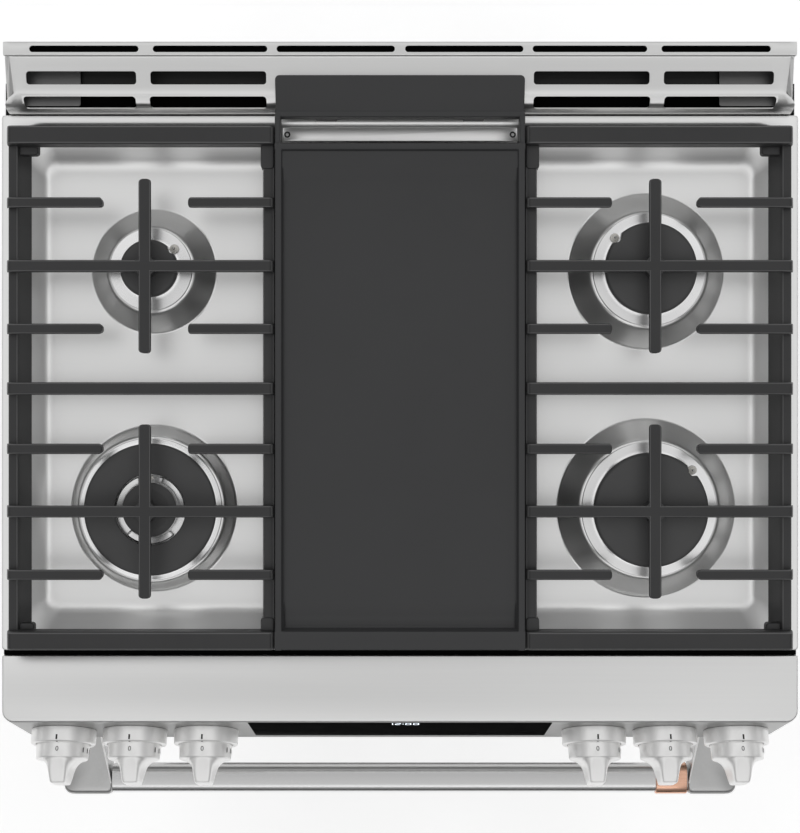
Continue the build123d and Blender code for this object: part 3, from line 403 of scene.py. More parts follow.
def build_pan():
    g = Geo()
    y0, y1 = -194.4, 317.2

    def ring_at(t, z):
        """Outline of the recess: t=0 at the flange, t=1 at the floor."""
        return lift(rrect(-371 + 30 * t, 371 - 30 * t, -191.6 + 35.6 * t, 310 - 39 * t, 30 - 17 * t, 12), z)

    def outer(z, inset=0.0):
        return lift(rrect(-381 + inset, 381 - inset, y0 + inset, y1 - inset, 3.0, 12), z)

    rings = [outer(906, 1.3), outer(906), outer(913.9), outer(914.7, 0.3), outer(915.0, 1.1)]
    # flange, rolled edge, wall, floor fillet
    rings.append(ring_at(-0.02, 915.0))
    wall = [(0.00, 914.85), (0.03, 914.45), (0.07, 913.6), (0.11, 912.5), (0.16, 911.2)]
    n = 8
    for i in range(1, n + 1):
        t = 0.16 + (0.80 - 0.16) * i / n
        wall.append((t, 911.2 - (911.2 - 894.6) * i / n))
    for i in range(1, 9):
        a = i / 8
        # smooth run-out of the wall into the floor
        t = 0.80 + 0.34 * a
        wall.append((t, 890.0 + (894.6 - 890.0) * (1 - a) ** 2.2))
    for t, z in wall:
        rings.append(ring_at(t, z))
    g.rings(rings, cap0=False, cap1=True)
    # underside, one sheet thickness lower
    under = [outer(906, 1.3), lift(rrect(-379.7, 379.7, y0 + 1.3, y1 - 1.3, 2.0, 12), 913.5),
             lift(rrect(-371.5, 371.5, -192.4, 310.5, 30, 12), 913.2), lift(rrect(-341.5, 341.5, -156.5, 271.5, 14, 12), 888.5)]
    g.rings(under, cap0=False, cap1=True)
    # black strip in the gap between the cooktop's front edge and the control panel: painted shadow
    gap_shade_geo = Geo()
    for z0, z1, ya, yb in ((880.0, 909.0, -199.85, -192.6),):
        gap_shade_geo.rings([lift(rrect(-380.6 + i, 380.6 - i, ya, yb, 0.6, 3), z) for z, i in ((z0, 0.0), (z1 - 0.4, 0.0), (z1, 0.4))])
    make("cooktop_front_gap_shadow", gap_shade_geo.v, gap_shade_geo.f, "chassis", DARKIN, angle=30)
    # the strip behind the griddle slot with its two fixing holes
    st = []
    for z, i in ((903, 0), (912.2, 0), (912.8, 0.25), (913.0, 0.8)):
        st.append(lift(rrect(-112.5 + i, 112.5 - i, 292.4 + i, 305.7 - i, 1.2, 4), z))
    g.rings(st)
    o = make("cooktop_pan_pressed", g.v, g.f, "chassis", PAN_STEEL, angle=50)
    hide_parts("cooktop_pan")
    # pressed cones
    c = Geo()
    for bx, by, cap, ring, foot in BURNERS.values():
        prof = [(foot + 1.6, 890.02), (foot + 0.6, 890.2), (foot - 0.4, 890.8), (foot - 1.6, 892.2)]
        k = 8
        for i in range(1, k + 1):
            a = i / k
            prof.append((foot - 1.6 + (ring + 2.6 - foot + 1.6) * a, 892.2 + (908.4 - 892.2) * a))
        prof += [(ring + 1.2, 909.4), (ring - 0.4, 909.95), (ring - 2.0, 910.0), (ring - 9.0, 910.0),
                 (ring - 9.0, 908.8), (ring - 0.5, 908.7), (foot - 3.0, 889.4), (foot + 1.6, 889.0)]
        c.revolve(prof, bx, by, 128, close=True)
    o = make("burner_cones", c.v, c.f, "chassis", CONE_STEEL, angle=38)
    # screw heads in the strip
    sgeo = Geo()
    for s in (-1, 1):
        sgeo.revolve([(0, 911.5), (3.1, 911.5), (3.1, 912.9), (2.6, 913.35), (1.6, 913.5), (1.5, 912.9), (0, 912.9)], s * 108, 299, 32)
    make("strip_screws", sgeo.v, sgeo.f, "chassis", INK, angle=30)


def notch(ex, ey, depth_r):
    """Radius function that bites a round notch out of a rim near (ex, ey)."""
    def f(a, r, z):
        if r < 6:
            return r
        ux, uy = cos(a), sin(a)
        b = ux * ex + uy * ey
        disc = b * b - (ex * ex + ey * ey - depth_r * depth_r)
        if disc <= 0 or b <= 0:
            return r
        near = b - sqrt(disc)
        return min(r, near)
    return f


def build_burners():
    g = Geo()
    caps = {"l": Geo(), "r": Geo(), "c": Geo()}
    ports = Geo()
    for name, (bx, by, cap, ring, foot) in BURNERS.items():
        ex, ey, er = ELECTRODES[name]
        key = name[0] if name[0] in "lr" else "c"
        if name == "left_front":
            # skirt ring, outer crown, inner channel, inner crown
            g.revolve([(ring - 0.5, 908.6), (ring - 0.3, 910.6), (ring - 0.9, 911.3), (ring - 2.0, 911.6), (62.2, 911.6), (61.0, 912.4),
                       (61.0, 914.1), (38.0, 914.1), (37.2, 913.4), (37.2, 911.9), (35.4, 911.4), (34.9, 909.2), (25.6, 909.2),
                       (25.1, 911.2), (24.2, 912.2), (24.0, 917.7), (0, 917.7), (0, 906.6), (14, 906.6), (ring - 9.6, 906.6), (ring - 9.6, 908.6)], bx, by, 128, close=False)
            # bright lobes between the two crowns
            for k in range(3):
                a0 = pi / 2 + k * 2 * pi / 3 + radians(16)
                a1 = a0 + radians(88)
                n = 26
                sec = [(26.6, 909.4), (26.6, 912.8), (27.3, 913.6), (32.2, 914.4), (33.2, 913.8), (33.4, 909.4)]
                rings = []
                for i in range(n + 1):
                    a = a0 + (a1 - a0) * i / n
                    e = min(i, n - i)
                    sh = 0.75 if e == 0 else (0.93 if e == 1 else 1.0)
                    rings.append([(bx + (30 + (r - 30) * sh) * cos(a), by + (30 + (r - 30) * sh) * sin(a), 909.4 + (z - 909.4) * sh) for r, z in sec])
                g.rings(rings)
            P, cnt = 61.0, 40
            for k in range(cnt):
                a = 2 * pi * k / cnt
                t, w = Vector((cos(a), sin(a), 0)), Vector((-sin(a), cos(a), 0))
                c0 = Vector((bx, by, 0)) + t * (P - 1.5)
                ring0 = [c0 + w * u + Vector((0, 0, z)) for u, z in ((-1.1, 912.5), (1.1, 912.5), (1.1, 913.7), (-1.1, 913.7))]
                ring1 = [p + t * 1.56 for p in ring0]
                ports.rings([ring0, ring1])
            c = caps[key]
            c.revolve([(33.9, 914.3), (33.9, 916.0), (34.4, 916.8), (35.4, 917.2), (59.6, 917.2), (61.6, 916.9), (62.8, 916.1), (63.3, 915.0), (63.3, 914.3)],
                      bx, by, 128, close=True)
            c.revolve([(0, 918.0), (25.4, 918.0), (26.0, 918.6), (25.8, 919.6), (24.6, 920.5), (21.0, 921.4), (19.8, 921.9), (19.2, 922.0), (0, 922.0)], bx, by, 96)
        else:
            q = notch(ex, ey, er + 1.0)
            g.revolve([(ring - 0.5, 908.6), (ring - 0.3, 910.7), (ring - 0.9, 911.4), (ring - 2.0, 911.6), (cap + 2.6, 911.6), (cap + 1.0, 911.9),
                       (cap - 1.4, 912.6), (cap - 2.0, 913.2), (cap - 2.0, 917.8), (0, 917.8), (0, 906.6), (ring - 9.6, 906.6), (ring - 9.6, 908.6)],
                      bx, by, 128, radial=lambda a, r, z, q=q, cap=cap: q(a, r, z) if (z > 911.7 and r <= cap + 0.01) else r)
            P = cap - 2.0
            cnt = int(P * 0.62)
            for k in range(cnt):
                a = 2 * pi * (k + 0.5) / cnt
                t, w = Vector((cos(a), sin(a), 0)), Vector((-sin(a), cos(a), 0))
                if (t * P - Vector((ex, ey, 0))).length < er + 3.0:
                    continue
                c0 = Vector((bx, by, 0)) + t * (P - 1.5)
                ring0 = [c0 + w * u + Vector((0, 0, z)) for u, z in ((-1.1, 914.0), (1.1, 914.0), (1.1, 917.4), (-1.1, 917.4))]
                ring1 = [p + t * 1.58 for p in ring0]
                ports.rings([ring0, ring1])
            caps[key].revolve([(0, 918.1), (cap - 0.6, 918.1), (cap, 918.7), (cap, 921.6), (cap - 0.4, 923.0), (cap - 1.4, 924.2), (cap - 3.0, 924.85), (cap - 5.0, 925.0),
                               (0, 925.0)], bx, by, 128, radial=notch(ex, ey, er + 1.2))
    o = make("burner_heads_cast", g.v, g.f, "chassis", BRIGHT, angle=34)
    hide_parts("burner_heads")
    make("burner_ports", ports.v, ports.f, "chassis", DARKIN, angle=30)
    for key, node, body in (("l", "burner_caps_left", "caps_l"), ("r", "burner_caps_right", "caps_r"), ("c", "burner_caps_centre", "caps_c")):
        o = make(node + "_enamelled", caps[key].v, caps[key].f, body, CAP, angle=34)
        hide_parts(node)
    # spark electrodes: collared insulator and a wire tip
    e = Geo(); tips = Geo()
    for name, (bx, by, cap, ring, foot) in BURNERS.items():
        ex, ey, er = ELECTRODES[name]
        top = RING + (4.0 if name == "left_front" else 7.0)
        x, y = bx + ex, by + ey
        e.revolve([(0, 892), (er, 892), (er, top - 3.0), (er * 0.9, top - 1.6), (er * 0.62, top - 1.2), (er * 0.6, top - 0.2), (er * 0.5, top), (0, top)], x, y, 32)
        tips.revolve([(0, top - 1), (er * 0.28, top - 1), (er * 0.28, top + 3.2), (er * 0.16, top + 3.9), (0, top + 3.9)], x, y, 20)
    o = make("electrode_insulators", e.v, e.f, "chassis", CERAMIC, angle=34)
    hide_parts("electrodes")
    make("electrode_tips", tips.v, tips.f, "chassis", ZINC, angle=34)


# ------------------------------------------------------------------- grates
def bar(g, a, b, w, top, bot, end_a="flat", end_b="flat", bev=1.4, draft=0.9, drop=0.0):
    """A cast bar from a to b (x, y), width w at the top, with broken edges and drafted sides.
    round: the end is a half circle in plan; drop: the end turns down."""
    A, B = Vector((a[0], a[1], 0)), Vector((b[0], b[1], 0))
    d = (B - A); L = d.length; d.normalize()
    n = Vector((-d.y, d.x, 0))

    def section(hw, t, b_, k=1.0):
        # half outline from bottom centre up to top centre and down the other side
        e = min(bev, hw * 0.45)
        pts = [(-(hw + draft) + 0.6, b_), (-(hw + draft), b_ + 0.6 + (t - b_) * 0.06), (-hw, t - e), (-hw + e * 0.38, t - e * 0.38), (-hw + e, t), (0, t + 0.06),
               (hw - e, t), (hw - e * 0.38, t - e * 0.38), (hw, t - e), (hw + draft, b_ + 0.6 + (t - b_) * 0.06), ((hw + draft) - 0.6, b_), (0, b_)]
        return pts

    hw = w / 2
    stations = []
    def put(s, k, dz):
        """k scales the width; dz lowers the top."""
        stations.append([A + d * s + n * (u * k) + Vector((0, 0, z if z < (top + bot) / 2 else z - dz)) for u, z in section(hw, top, bot)])
    if end_a == "round":
        for i in range(9):
            phi = (pi / 2) * (8 - i) / 8
            put(hw * 0.62 * (1 - sin(phi)), max(0.42, cos(phi) ** 0.55), (1 - cos(phi)) * 1.3)
    elif end_a == "drop":
        for s, dz in ((0.0, 5.4), (0.5, 3.8), (1.3, 2.2), (2.4, 1.0), (3.8, 0.25), (5.4, 0.0)):
            put(s, 1.0, dz)
    else:
        put(0.0, 0.96, 0.6); put(0.7, 1.0, 0.0)
    m = max(1, int(L / 40))
    for i in range(1, m):
        p = 8 + (L - 16) * i / m
        put(p, 1.0, 0.0)
    if end_b == "round":
        for i in range(9):
            phi = (pi / 2) * i / 8
            put(L - hw * 0.62 * (1 - sin(phi)), max(0.42, cos(phi) ** 0.55), (1 - cos(phi)) * 1.3)
    elif end_b == "drop":
        for s, dz in ((5.4, 0.0), (3.8, 0.25), (2.4, 1.0), (1.3, 2.2), (0.5, 3.8), (0.0, 5.4)):
            put(L - s, 1.0, dz)
    else:
        put(L - 0.7, 1.0, 0.0); put(L, 0.96, 0.6)
    last = len(stations) - 2
    # bevel faces, and the tops of turned-down ends, take the lighter iron: painted highlight
    g.rings(stations, painted_highlight=lambda a, i: i in (3, 6) or (end_a == "drop" and a < 3 and i in (4, 5)) or (end_b == "drop" and a > last - 3 and i in (4, 5)))


def build_grate(s, name, node, body):
    g = Geo()
    T, Bz = ZP + 29.9, ZP + 16.0
    xi, xo = 118.1, 369.4
    P = lambda x, y: (s * x, y)
    # long bars over the burners; each turns down at the outer rail
    for y, w in ((55.2, 11.8), (170.0, 11.2), (-60.0, 11.2)):
        bar(g, P(xi + 0.4, y), P(xo - 0.2, y), w, T, Bz, "drop", "drop", draft=-0.6)
    for y, w in ((-181.3, 17.4), (292.9, 17.4)):
        bar(g, P(xi + 0.2, y), P(xo - 0.2, y), w, T - 0.2, Bz - 1.5, "drop", "drop", bev=1.8)
    for y in (229.4, 111.1, -1.3, -119.2):
        bar(g, P(xo - 0.2, y), P(279.1, y), 9.8, T, Bz + 3.5, "drop", "round", draft=-1.0)
        bar(g, P(xi + 0.4, y), P(198.5, y), 9.8, T, Bz + 3.5, "drop", "round", draft=-1.0)
    for yc in (170.0, -60.0):
        bar(g, P(239.0, yc - 81.6), P(239.0, yc + 81.6), 11.7, T, Bz + 3.5, "round", "round", draft=-1.2)
        # small fillet gussets where the two bars cross
        for sx in (-1, 1):
            for sy in (-1, 1):
                cx, cy = s * 239.0 + sx * 5.6, yc + sy * 5.3
                q = [(cx - sx * 1.2, cy - sy * 1.2), (cx + sx * 4.6, cy - sy * 0.6), (cx + sx * 2.2, cy + sy * 0.6), (cx + sx * 0.7, cy + sy * 2.0), (cx - sx * 0.6, cy + sy * 4.6)]
                g.rings([lift(q, Bz + 0.4), lift(q, T - 1.0), lift([(x * 0.9 + cx * 0.1, y * 0.9 + cy * 0.1) for x, y in q], T - 0.35)])
    # side rails, lower than the bars, with drafted inner faces
    def rail(sec, ya, yb):
        cx = sum(p[0] for p in sec) / len(sec)
        r = []
        for y, k in ((ya, 0.7), (ya + 0.8, 0.0), (ya + 90, 0.0), ((ya + yb) / 2, 0.0), (yb - 90, 0.0), (yb - 0.8, 0.0), (yb, 0.7)):
            r.append([(s * (x + (k if x < cx else -k)), y, z) for x, z in sec])
        g.rings(r, painted_highlight=lambda a, i: i in highlight_sides)
    zt = ZP + 20.6
    # the rail faces in these sets take the lighter iron: painted highlight
    highlight_sides = (7,)
    rail([(361.4, ZP - 5.2), (363.2, ZP - 4.6), (368.2, ZP + 1.4), (369.3, ZP + 4.0), (369.3, zt - 2.4), (368.8, zt - 0.9), (367.6, zt), (361.2, zt), (360.4, zt - 0.5), (360.0, zt - 1.5),
          (358.6, ZP + 14.0), (355.0, ZP + 1.0), (353.4, ZP - 4.6), (354.2, ZP - 5.2)], -184.5, 296.0)
    highlight_sides = (2, 5)
    rail([(118.3, ZP + 6.0), (118.2, zt - 1.4), (118.7, zt - 0.4), (119.8, zt), (127.2, zt), (128.1, zt - 0.4), (128.6, zt - 1.4), (130.4, ZP + 7.0), (129.8, ZP + 6.0)], -189.6, 301.6)
    # corner pads and the feet that stand on the cooktop
    for y0, y1, x0, x1, zt2 in ((276.0, 301.6, 342.0, 369.3, ZP + 15.5), (262.0, 301.6, 118.3, 131.4, ZP + 22.0),
                                (-189.8, -166.0, 346.0, 369.3, ZP + 15.5), (-189.8, -160.0, 118.3, 131.4, ZP + 22.0)):
        rr = []
        for z, i in ((ZP + 8.0, 0.0), (zt2 - 1.2, 0.3), (zt2 - 0.3, 0.8), (zt2, 1.8)):
            rr.append([(s * x, y, z) for x, y in rrect(x0 + i, x1 - i, y0 + i, y1 - i, 3.0, 4)])
        g.rings(rr)
    for y in (-178.0, 288.0):
        for x in (122.5, 362.5):
            zb = ZP + 0.3 if x > 300 else ZP - 2.0
            rr = []
            for z, k in ((zb, 3.2), (zb + 0.8, 4.0), (ZP + 14, 4.6)):
                rr.append([(s * x + px, y + py, z) for px, py in rrect(-k, k, -k - 1.5, k + 1.5, 2.0, 4)])
            g.rings(rr)
    o = make(name, g.v, g.f, body, angle=26, mats=[IRON, IRON_EDGE_HIGHLIGHT], face_mats=g.m)
    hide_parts(node)


# ------------------------------------------------------------------ griddle
def build_griddle():
    g = Geo()
    RIM = ZP + 31.0
    X = 117.2
    # across: rim profile from outside to the cooking surface, as (x, height)
    zx = [(-117.2, RIM - 2.2), (-117.0, RIM - 1.0), (-116.3, RIM - 0.25), (-115.4, RIM), (-112.2, RIM), (-111.3, RIM - 0.3), (-110.7, RIM - 1.0), (-110.2, RIM - 2.6), (-109.3, RIM - 5.6),
          (-107.8, RIM - 20), (-60, RIM - 20), (0, RIM - 20)]
    zx = zx + [(-x, z) for x, z in zx[::-1][1:]]
    # along: front rim, grease trough, slope, flat, rear slope, ledge, cross bar
    zy = [(-189.7, RIM - 2.2), (-189.5, RIM - 1.0), (-188.7, RIM - 0.25), (-187.6, RIM), (-173.4, RIM), (-172.4, RIM - 0.4), (-171.7, RIM - 1.4), (-170.6, RIM - 6.5), (-169.6, RIM - 8.9), (-168.0, RIM - 9.9),
          (-161.0, RIM - 9.9), (-158.7, RIM - 9.6), (-156.5, RIM - 8.9), (-147.5, RIM - 6.9), (-145.3, RIM - 6.55), (-143.0, RIM - 6.5), (-60, RIM - 6.5), (60, RIM - 6.5), (180, RIM - 6.5), (249.5, RIM - 6.5),
          (251.5, RIM - 6.35), (254.0, RIM - 5.4), (262.0, RIM - 2.9), (264.5, RIM - 2.4), (277.4, RIM - 2.4), (278.2, RIM - 1.2), (279.2, RIM - 0.3), (280.6, RIM), (283.0, RIM), (284.3, RIM - 0.3), (285.0, RIM - 1.4)]
    nx, ny = len(zx), len(zy)
    V, F = [], []
    for y, hy in zy:
        for x, hx in zx:
            V.append((x, y, max(hx, hy)))
    for j in range(ny - 1):
        for i in range(nx - 1):
            F.append([j * nx + i, j * nx + i + 1, (j + 1) * nx + i + 1, (j + 1) * nx + i])
    # skirt down to the underside
    low = RIM - 15.0
    edge = [(j, 0) for j in range(ny)] ; border = []
    for j in range(ny - 1): border.append((j * nx, (j + 1) * nx))
    for i in range(nx - 1): border.append(((ny - 1) * nx + i, (ny - 1) * nx + i + 1))
    for j in range(ny - 1, 0, -1): border.append((j * nx + nx - 1, (j - 1) * nx + nx - 1))
    for i in range(nx - 1, 0, -1): border.append((i, i - 1))
    idx = {}
    def lowv(k):
        if k not in idx:
            idx[k] = len(V); V.append((V[k][0], V[k][1], low))
        return idx[k]
    loopv = []
    for a, b in border:
        F.append([b, a, lowv(a), lowv(b)]); loopv.append(lowv(a))
    F.append(loopv)
    g.add(V, F)
    # side arms beside the slot, and the rear flange
    for sg in (-1, 1):
        sec = [(112.0, low), (117.2, low), (117.2, RIM - 2.2), (116.9, RIM - 1.0), (116.2, RIM - 0.25), (115.2, RIM), (113.4, RIM), (112.5, RIM - 0.4), (112.0, RIM - 1.4)]
        r = [[(sg * x, y, min(z, RIM - d) if z > low else z) for x, z in sec] for y, d in ((284.6, 0.0), (296, 0.0), (305, 0.6), (309, 2.2), (312, 3.6))]
        g.rings(r)
    r = [lift(rrect(-117.2, 117.2, 309.8, 316.4, 0.8, 3), z) for z in (low, RIM - 4.2)] + [lift(rrect(-116.8, 116.8, 310.2, 316.0, 0.8, 3), RIM - 3.6)]
    g.rings(r)
    # flange plate: rounded corners, rising backwards over the vent trim
    n = 10
    plan = rrect(-116.4, 116.4, 314.6, 346.6, (0.8, 0.8, 4.2, 4.2), 8)
    def plate(dz, inset):
        cx = [(x * (1 - inset / 116.4), 330.6 + (y - 330.6) * (1 - inset / 16.0)) for x, y in plan]
        return [(x, y, RIM - 5.7 + (y - 315.0) * 0.325 + dz) for x, y in cx]
    g.rings([plate(-1.2, 0.4), plate(-0.7, 0.0), plate(1.6, 0.0), plate(2.1, 0.25), plate(2.35, 0.9)])
    # feet
    for sg in (-1, 1):
        for x0, x1, y0, y1, zb in ((85, 103, -186, -177, ZP - 4.5), (60, 80, 311, 314.6, ZP + 0.3)):
            xs = sorted((sg * x0, sg * x1))
            g.rings([lift(rrect(xs[0] + i, xs[1] - i, y0 + i, y1 - i, 0.8, 3), z) for z, i in ((zb, 0.6), (zb + 0.6, 0.0), (low + 1, 0.0))])
    o = make("griddle_cast", g.v, g.f, "griddle_plate", GRID, angle=24)
    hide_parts("griddle")


# ---------------------------------------------------------------- vent trim
def build_vent():
    """The trim's skin is laid out flat with its slots, then folded along its profile."""
    prof = [(317.7, 915.3), (317.9, 918.4), (318.5, 921.6), (319.6, 924.8), (321.2, 927.8), (323.4, 930.6), (326.0, 933.0), (329.2, 935.2), (333.0, 937.2), (336.6, 938.3),
            (350.0, 940.6), (364.8, 943.0), (366.2, 943.4), (366.8, 944.2), (367.6, 944.85), (368.6, 945.0), (378.6, 945.0), (379.6, 944.6), (380.0, 943.6), (380.0, 936.0), (380.0, 900.0)]
    s_at = [0.0]
    for a, b in zip(prof, prof[1:]):
        s_at.append(s_at[-1] + sqrt((a[0] - b[0]) ** 2 + (a[1] - b[1]) ** 2))

    def s_of_y(y):
        for k in range(len(prof) - 1):
            if prof[k][0] <= y <= prof[k + 1][0] and prof[k + 1][0] > prof[k][0]:
                f = (y - prof[k][0]) / (prof[k + 1][0] - prof[k][0])
                return s_at[k] + f * (s_at[k + 1] - s_at[k])
        return s_at[-1]

    cu = bpy.data.curves.new("vent_flat", "CURVE")
    cu.dimensions = "2D"; cu.fill_mode = "BOTH"; cu.resolution_u = 1

    def poly(pts):
        sp = cu.splines.new("POLY"); sp.points.add(len(pts) - 1)
        for p, (x, y) in zip(sp.points, pts):
            p.co = (x, y, 0, 1)
        sp.use_cyclic_u = True
    W = 371.0
    ENDS = [(317.7, 372.6), (321.5, 373.3), (324.0, 373.0), (326.6, 371.6), (329.2, 369.0), (331.4, 365.6), (333.2, 363.2), (336.6, 363.3), (364.8, 365.8), (366.2, 366.2), (366.8, 371.0), (368.0, 371.4), (381.0, 371.4)]

    def half(y):
        if y <= ENDS[0][0]:
            return ENDS[0][1]
        for (ya, wa), (yb, wb) in zip(ENDS, ENDS[1:]):
            if ya <= y <= yb:
                return wa + (wb - wa) * (y - ya) / (yb - ya)
        return ENDS[-1][1]
    # ends step outwards a little at the nose
    poly([(-W, 0), (W, 0), (W, s_at[-1]), (-W, s_at[-1])])
    rows = [(369.8, 375.9, ((4.8, 115.4), (124.1, 231.2), (244.6, 346.8)), 3.0),
            (340.9, 352.9, ((125.6, 234.3), (247.7, 351.0)), 3.0),
            (320.7, 330.4, ((126.0, 236.0), (249.3, 355.0)), 3.4)]
    for ya, yb, xs, rad in rows:
        sa, sb = s_of_y(ya), s_of_y(yb)
        for xa, xb in xs:
            for sg in (-1, 1):
                lo, hi = sorted((sg * xa, sg * xb))
                poly(rrect(lo, hi, sa, sb, min(rad, (sb - sa) / 2 - 0.05), 6)[::-1])
    ob = bpy.data.objects.new("vent_flat", cu)
    bpy.context.scene.collection.objects.link(ob)
    bpy.context.view_layer.update()
    dg = bpy.context.evaluated_depsgraph_get()
    me = bpy.data.meshes.new_from_object(ob.evaluated_get(dg))
    bpy.data.objects.remove(ob); bpy.data.curves.remove(cu)
    bm = bmesh.new(); bm.from_mesh(me)
    bmesh.ops.remove_doubles(bm, verts=bm.verts, dist=1e-4)
    bmesh.ops.dissolve_limit(bm, angle_limit=radians(1), verts=bm.verts, edges=bm.edges)
    for s in sorted(s_at[1:-1] + [s_of_y(y) for y in (324.0, 331.4, 352.0)]):
        bmesh.ops.bisect_plane(bm, geom=bm.verts[:] + bm.edges[:] + bm.faces[:], plane_co=(0, s, 0), plane_no=(0, 1, 0), dist=1e-4)
    for x in (-364, -357, -300, -200, -100, 0, 100, 200, 300, 357, 364):
        bmesh.ops.bisect_plane(bm, geom=bm.verts[:] + bm.edges[:] + bm.faces[:], plane_co=(x, 0, 0), plane_no=(1, 0, 0), dist=1e-4)
    for v in bm.verts:
        s = min(max(v.co.y, 0.0), s_at[-1])
        k = 0
        while k < len(s_at) - 2 and s > s_at[k + 1] + 1e-6:
            k += 1
        f = (s - s_at[k]) / (s_at[k + 1] - s_at[k])
        y = prof[k][0] + f * (prof[k + 1][0] - prof[k][0])
        z = prof[k][1] + f * (prof[k + 1][1] - prof[k][1])
        x = v.co.x
        if abs(x) > 357.0:
            # ends taper along the slope and swell round the nose
            x = (357.0 + (abs(x) - 357.0) * (half(y) - 357.0) / (W - 357.0)) * (1 if x > 0 else -1)
        v.co = Vector((x * MM, y * MM, z * MM))
    bmesh.ops.recalc_face_normals(bm, faces=bm.faces)
    up = sum((f.normal.z * f.calc_area() for f in bm.faces))
    if up < 0:
        bmesh.ops.reverse_faces(bm, faces=bm.faces)
    bm.to_mesh(me); bm.free()
    o = bpy.data.objects.new("vent_trim_folded", me)
    bpy.context.scene.collection.objects.link(o)
    me.materials.clear(); me.materials.append(TRIM_STEEL)
    sd = o.modifiers.new("sheet", "SOLIDIFY"); sd.thickness = 1.5 * MM; sd.offset = -1.0
    bv = o.modifiers.new("edges", "BEVEL"); bv.width = 0.35 * MM; bv.segments = 2; bv.limit_method = "ANGLE"; bv.angle_limit = radians(50)
    bpy.context.view_layer.update()
    dg = bpy.context.evaluated_depsgraph_get()
    new = bpy.data.meshes.new_from_object(o.evaluated_get(dg))
    o.modifiers.clear(); o.data = new
    finish_mesh(new, 38)
    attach(o, "chassis"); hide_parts("vent_trim")
    # end walls under the sheet
    g = Geo()
    for sg in (-1, 1):
        top = [(y, z) for y, z in prof[:-2]]
        rr = []
        for off, dz in ((1.6, 0.9), (0.35, 0.9), (0.0, 1.3)):
            rr.append([(sg * (half(y) - off), min(max(y, 318.4), 379.4), max(z - dz, 908.2)) for y, z in top] + [(sg * (half(379) - off), 379.4, 900.6), (sg * (half(353) - off), 353.2, 900.6), (sg * (half(353) - off), 353.2, 908.2), (sg * (half(325) - off), 325.0, 908.2)])
        g.rings(rr[:2])
    make("vent_trim_ends", g.v, g.f, "chassis", TRIM_STEEL, angle=35)
    # baffle plates seen through the slots
    b, bl = Geo(), Geo()
    for sg in (-1, 1):
        for x0, x1 in ((250, 304), (122, 240)):
            a_, b_ = sorted((sg * x0, sg * x1))
            b.rings([lift(rrect(a_, b_, 335, 366, 2, 3), 918.0), lift(rrect(a_, b_, 335, 366, 2, 3), 919.0)])
        a_, b_ = sorted((sg * 303.5, sg * 362))
        bl.rings([lift(rrect(a_, b_, 324, 362, 2, 3), 923.0), lift(rrect(a_, b_, 324, 362, 2, 3), 924.0)])
    make("vent_baffles", b.v, b.f, "chassis", BAFFLE, angle=30)
    make("vent_baffle_plates", bl.v, bl.f, "chassis", BAFFLE_LIGHT, angle=30)
    # black sheets under the trim and under the back slot row: painted shade seen through the slots
    d = Geo()
    d.rings([lift(rrect(-368, 368, 320.5, 376.5, 2, 3), 912.2), lift(rrect(-368, 368, 320.5, 376.5, 2, 3), 913.0)])
    d.rings([lift(rrect(-368, 368, 368.9, 377.4, 1, 3), 937.0), lift(rrect(-368, 368, 368.9, 377.4, 1, 3), 938.0)])
    make("vent_slot_shade", d.v, d.f, "chassis", DARKIN, angle=30)


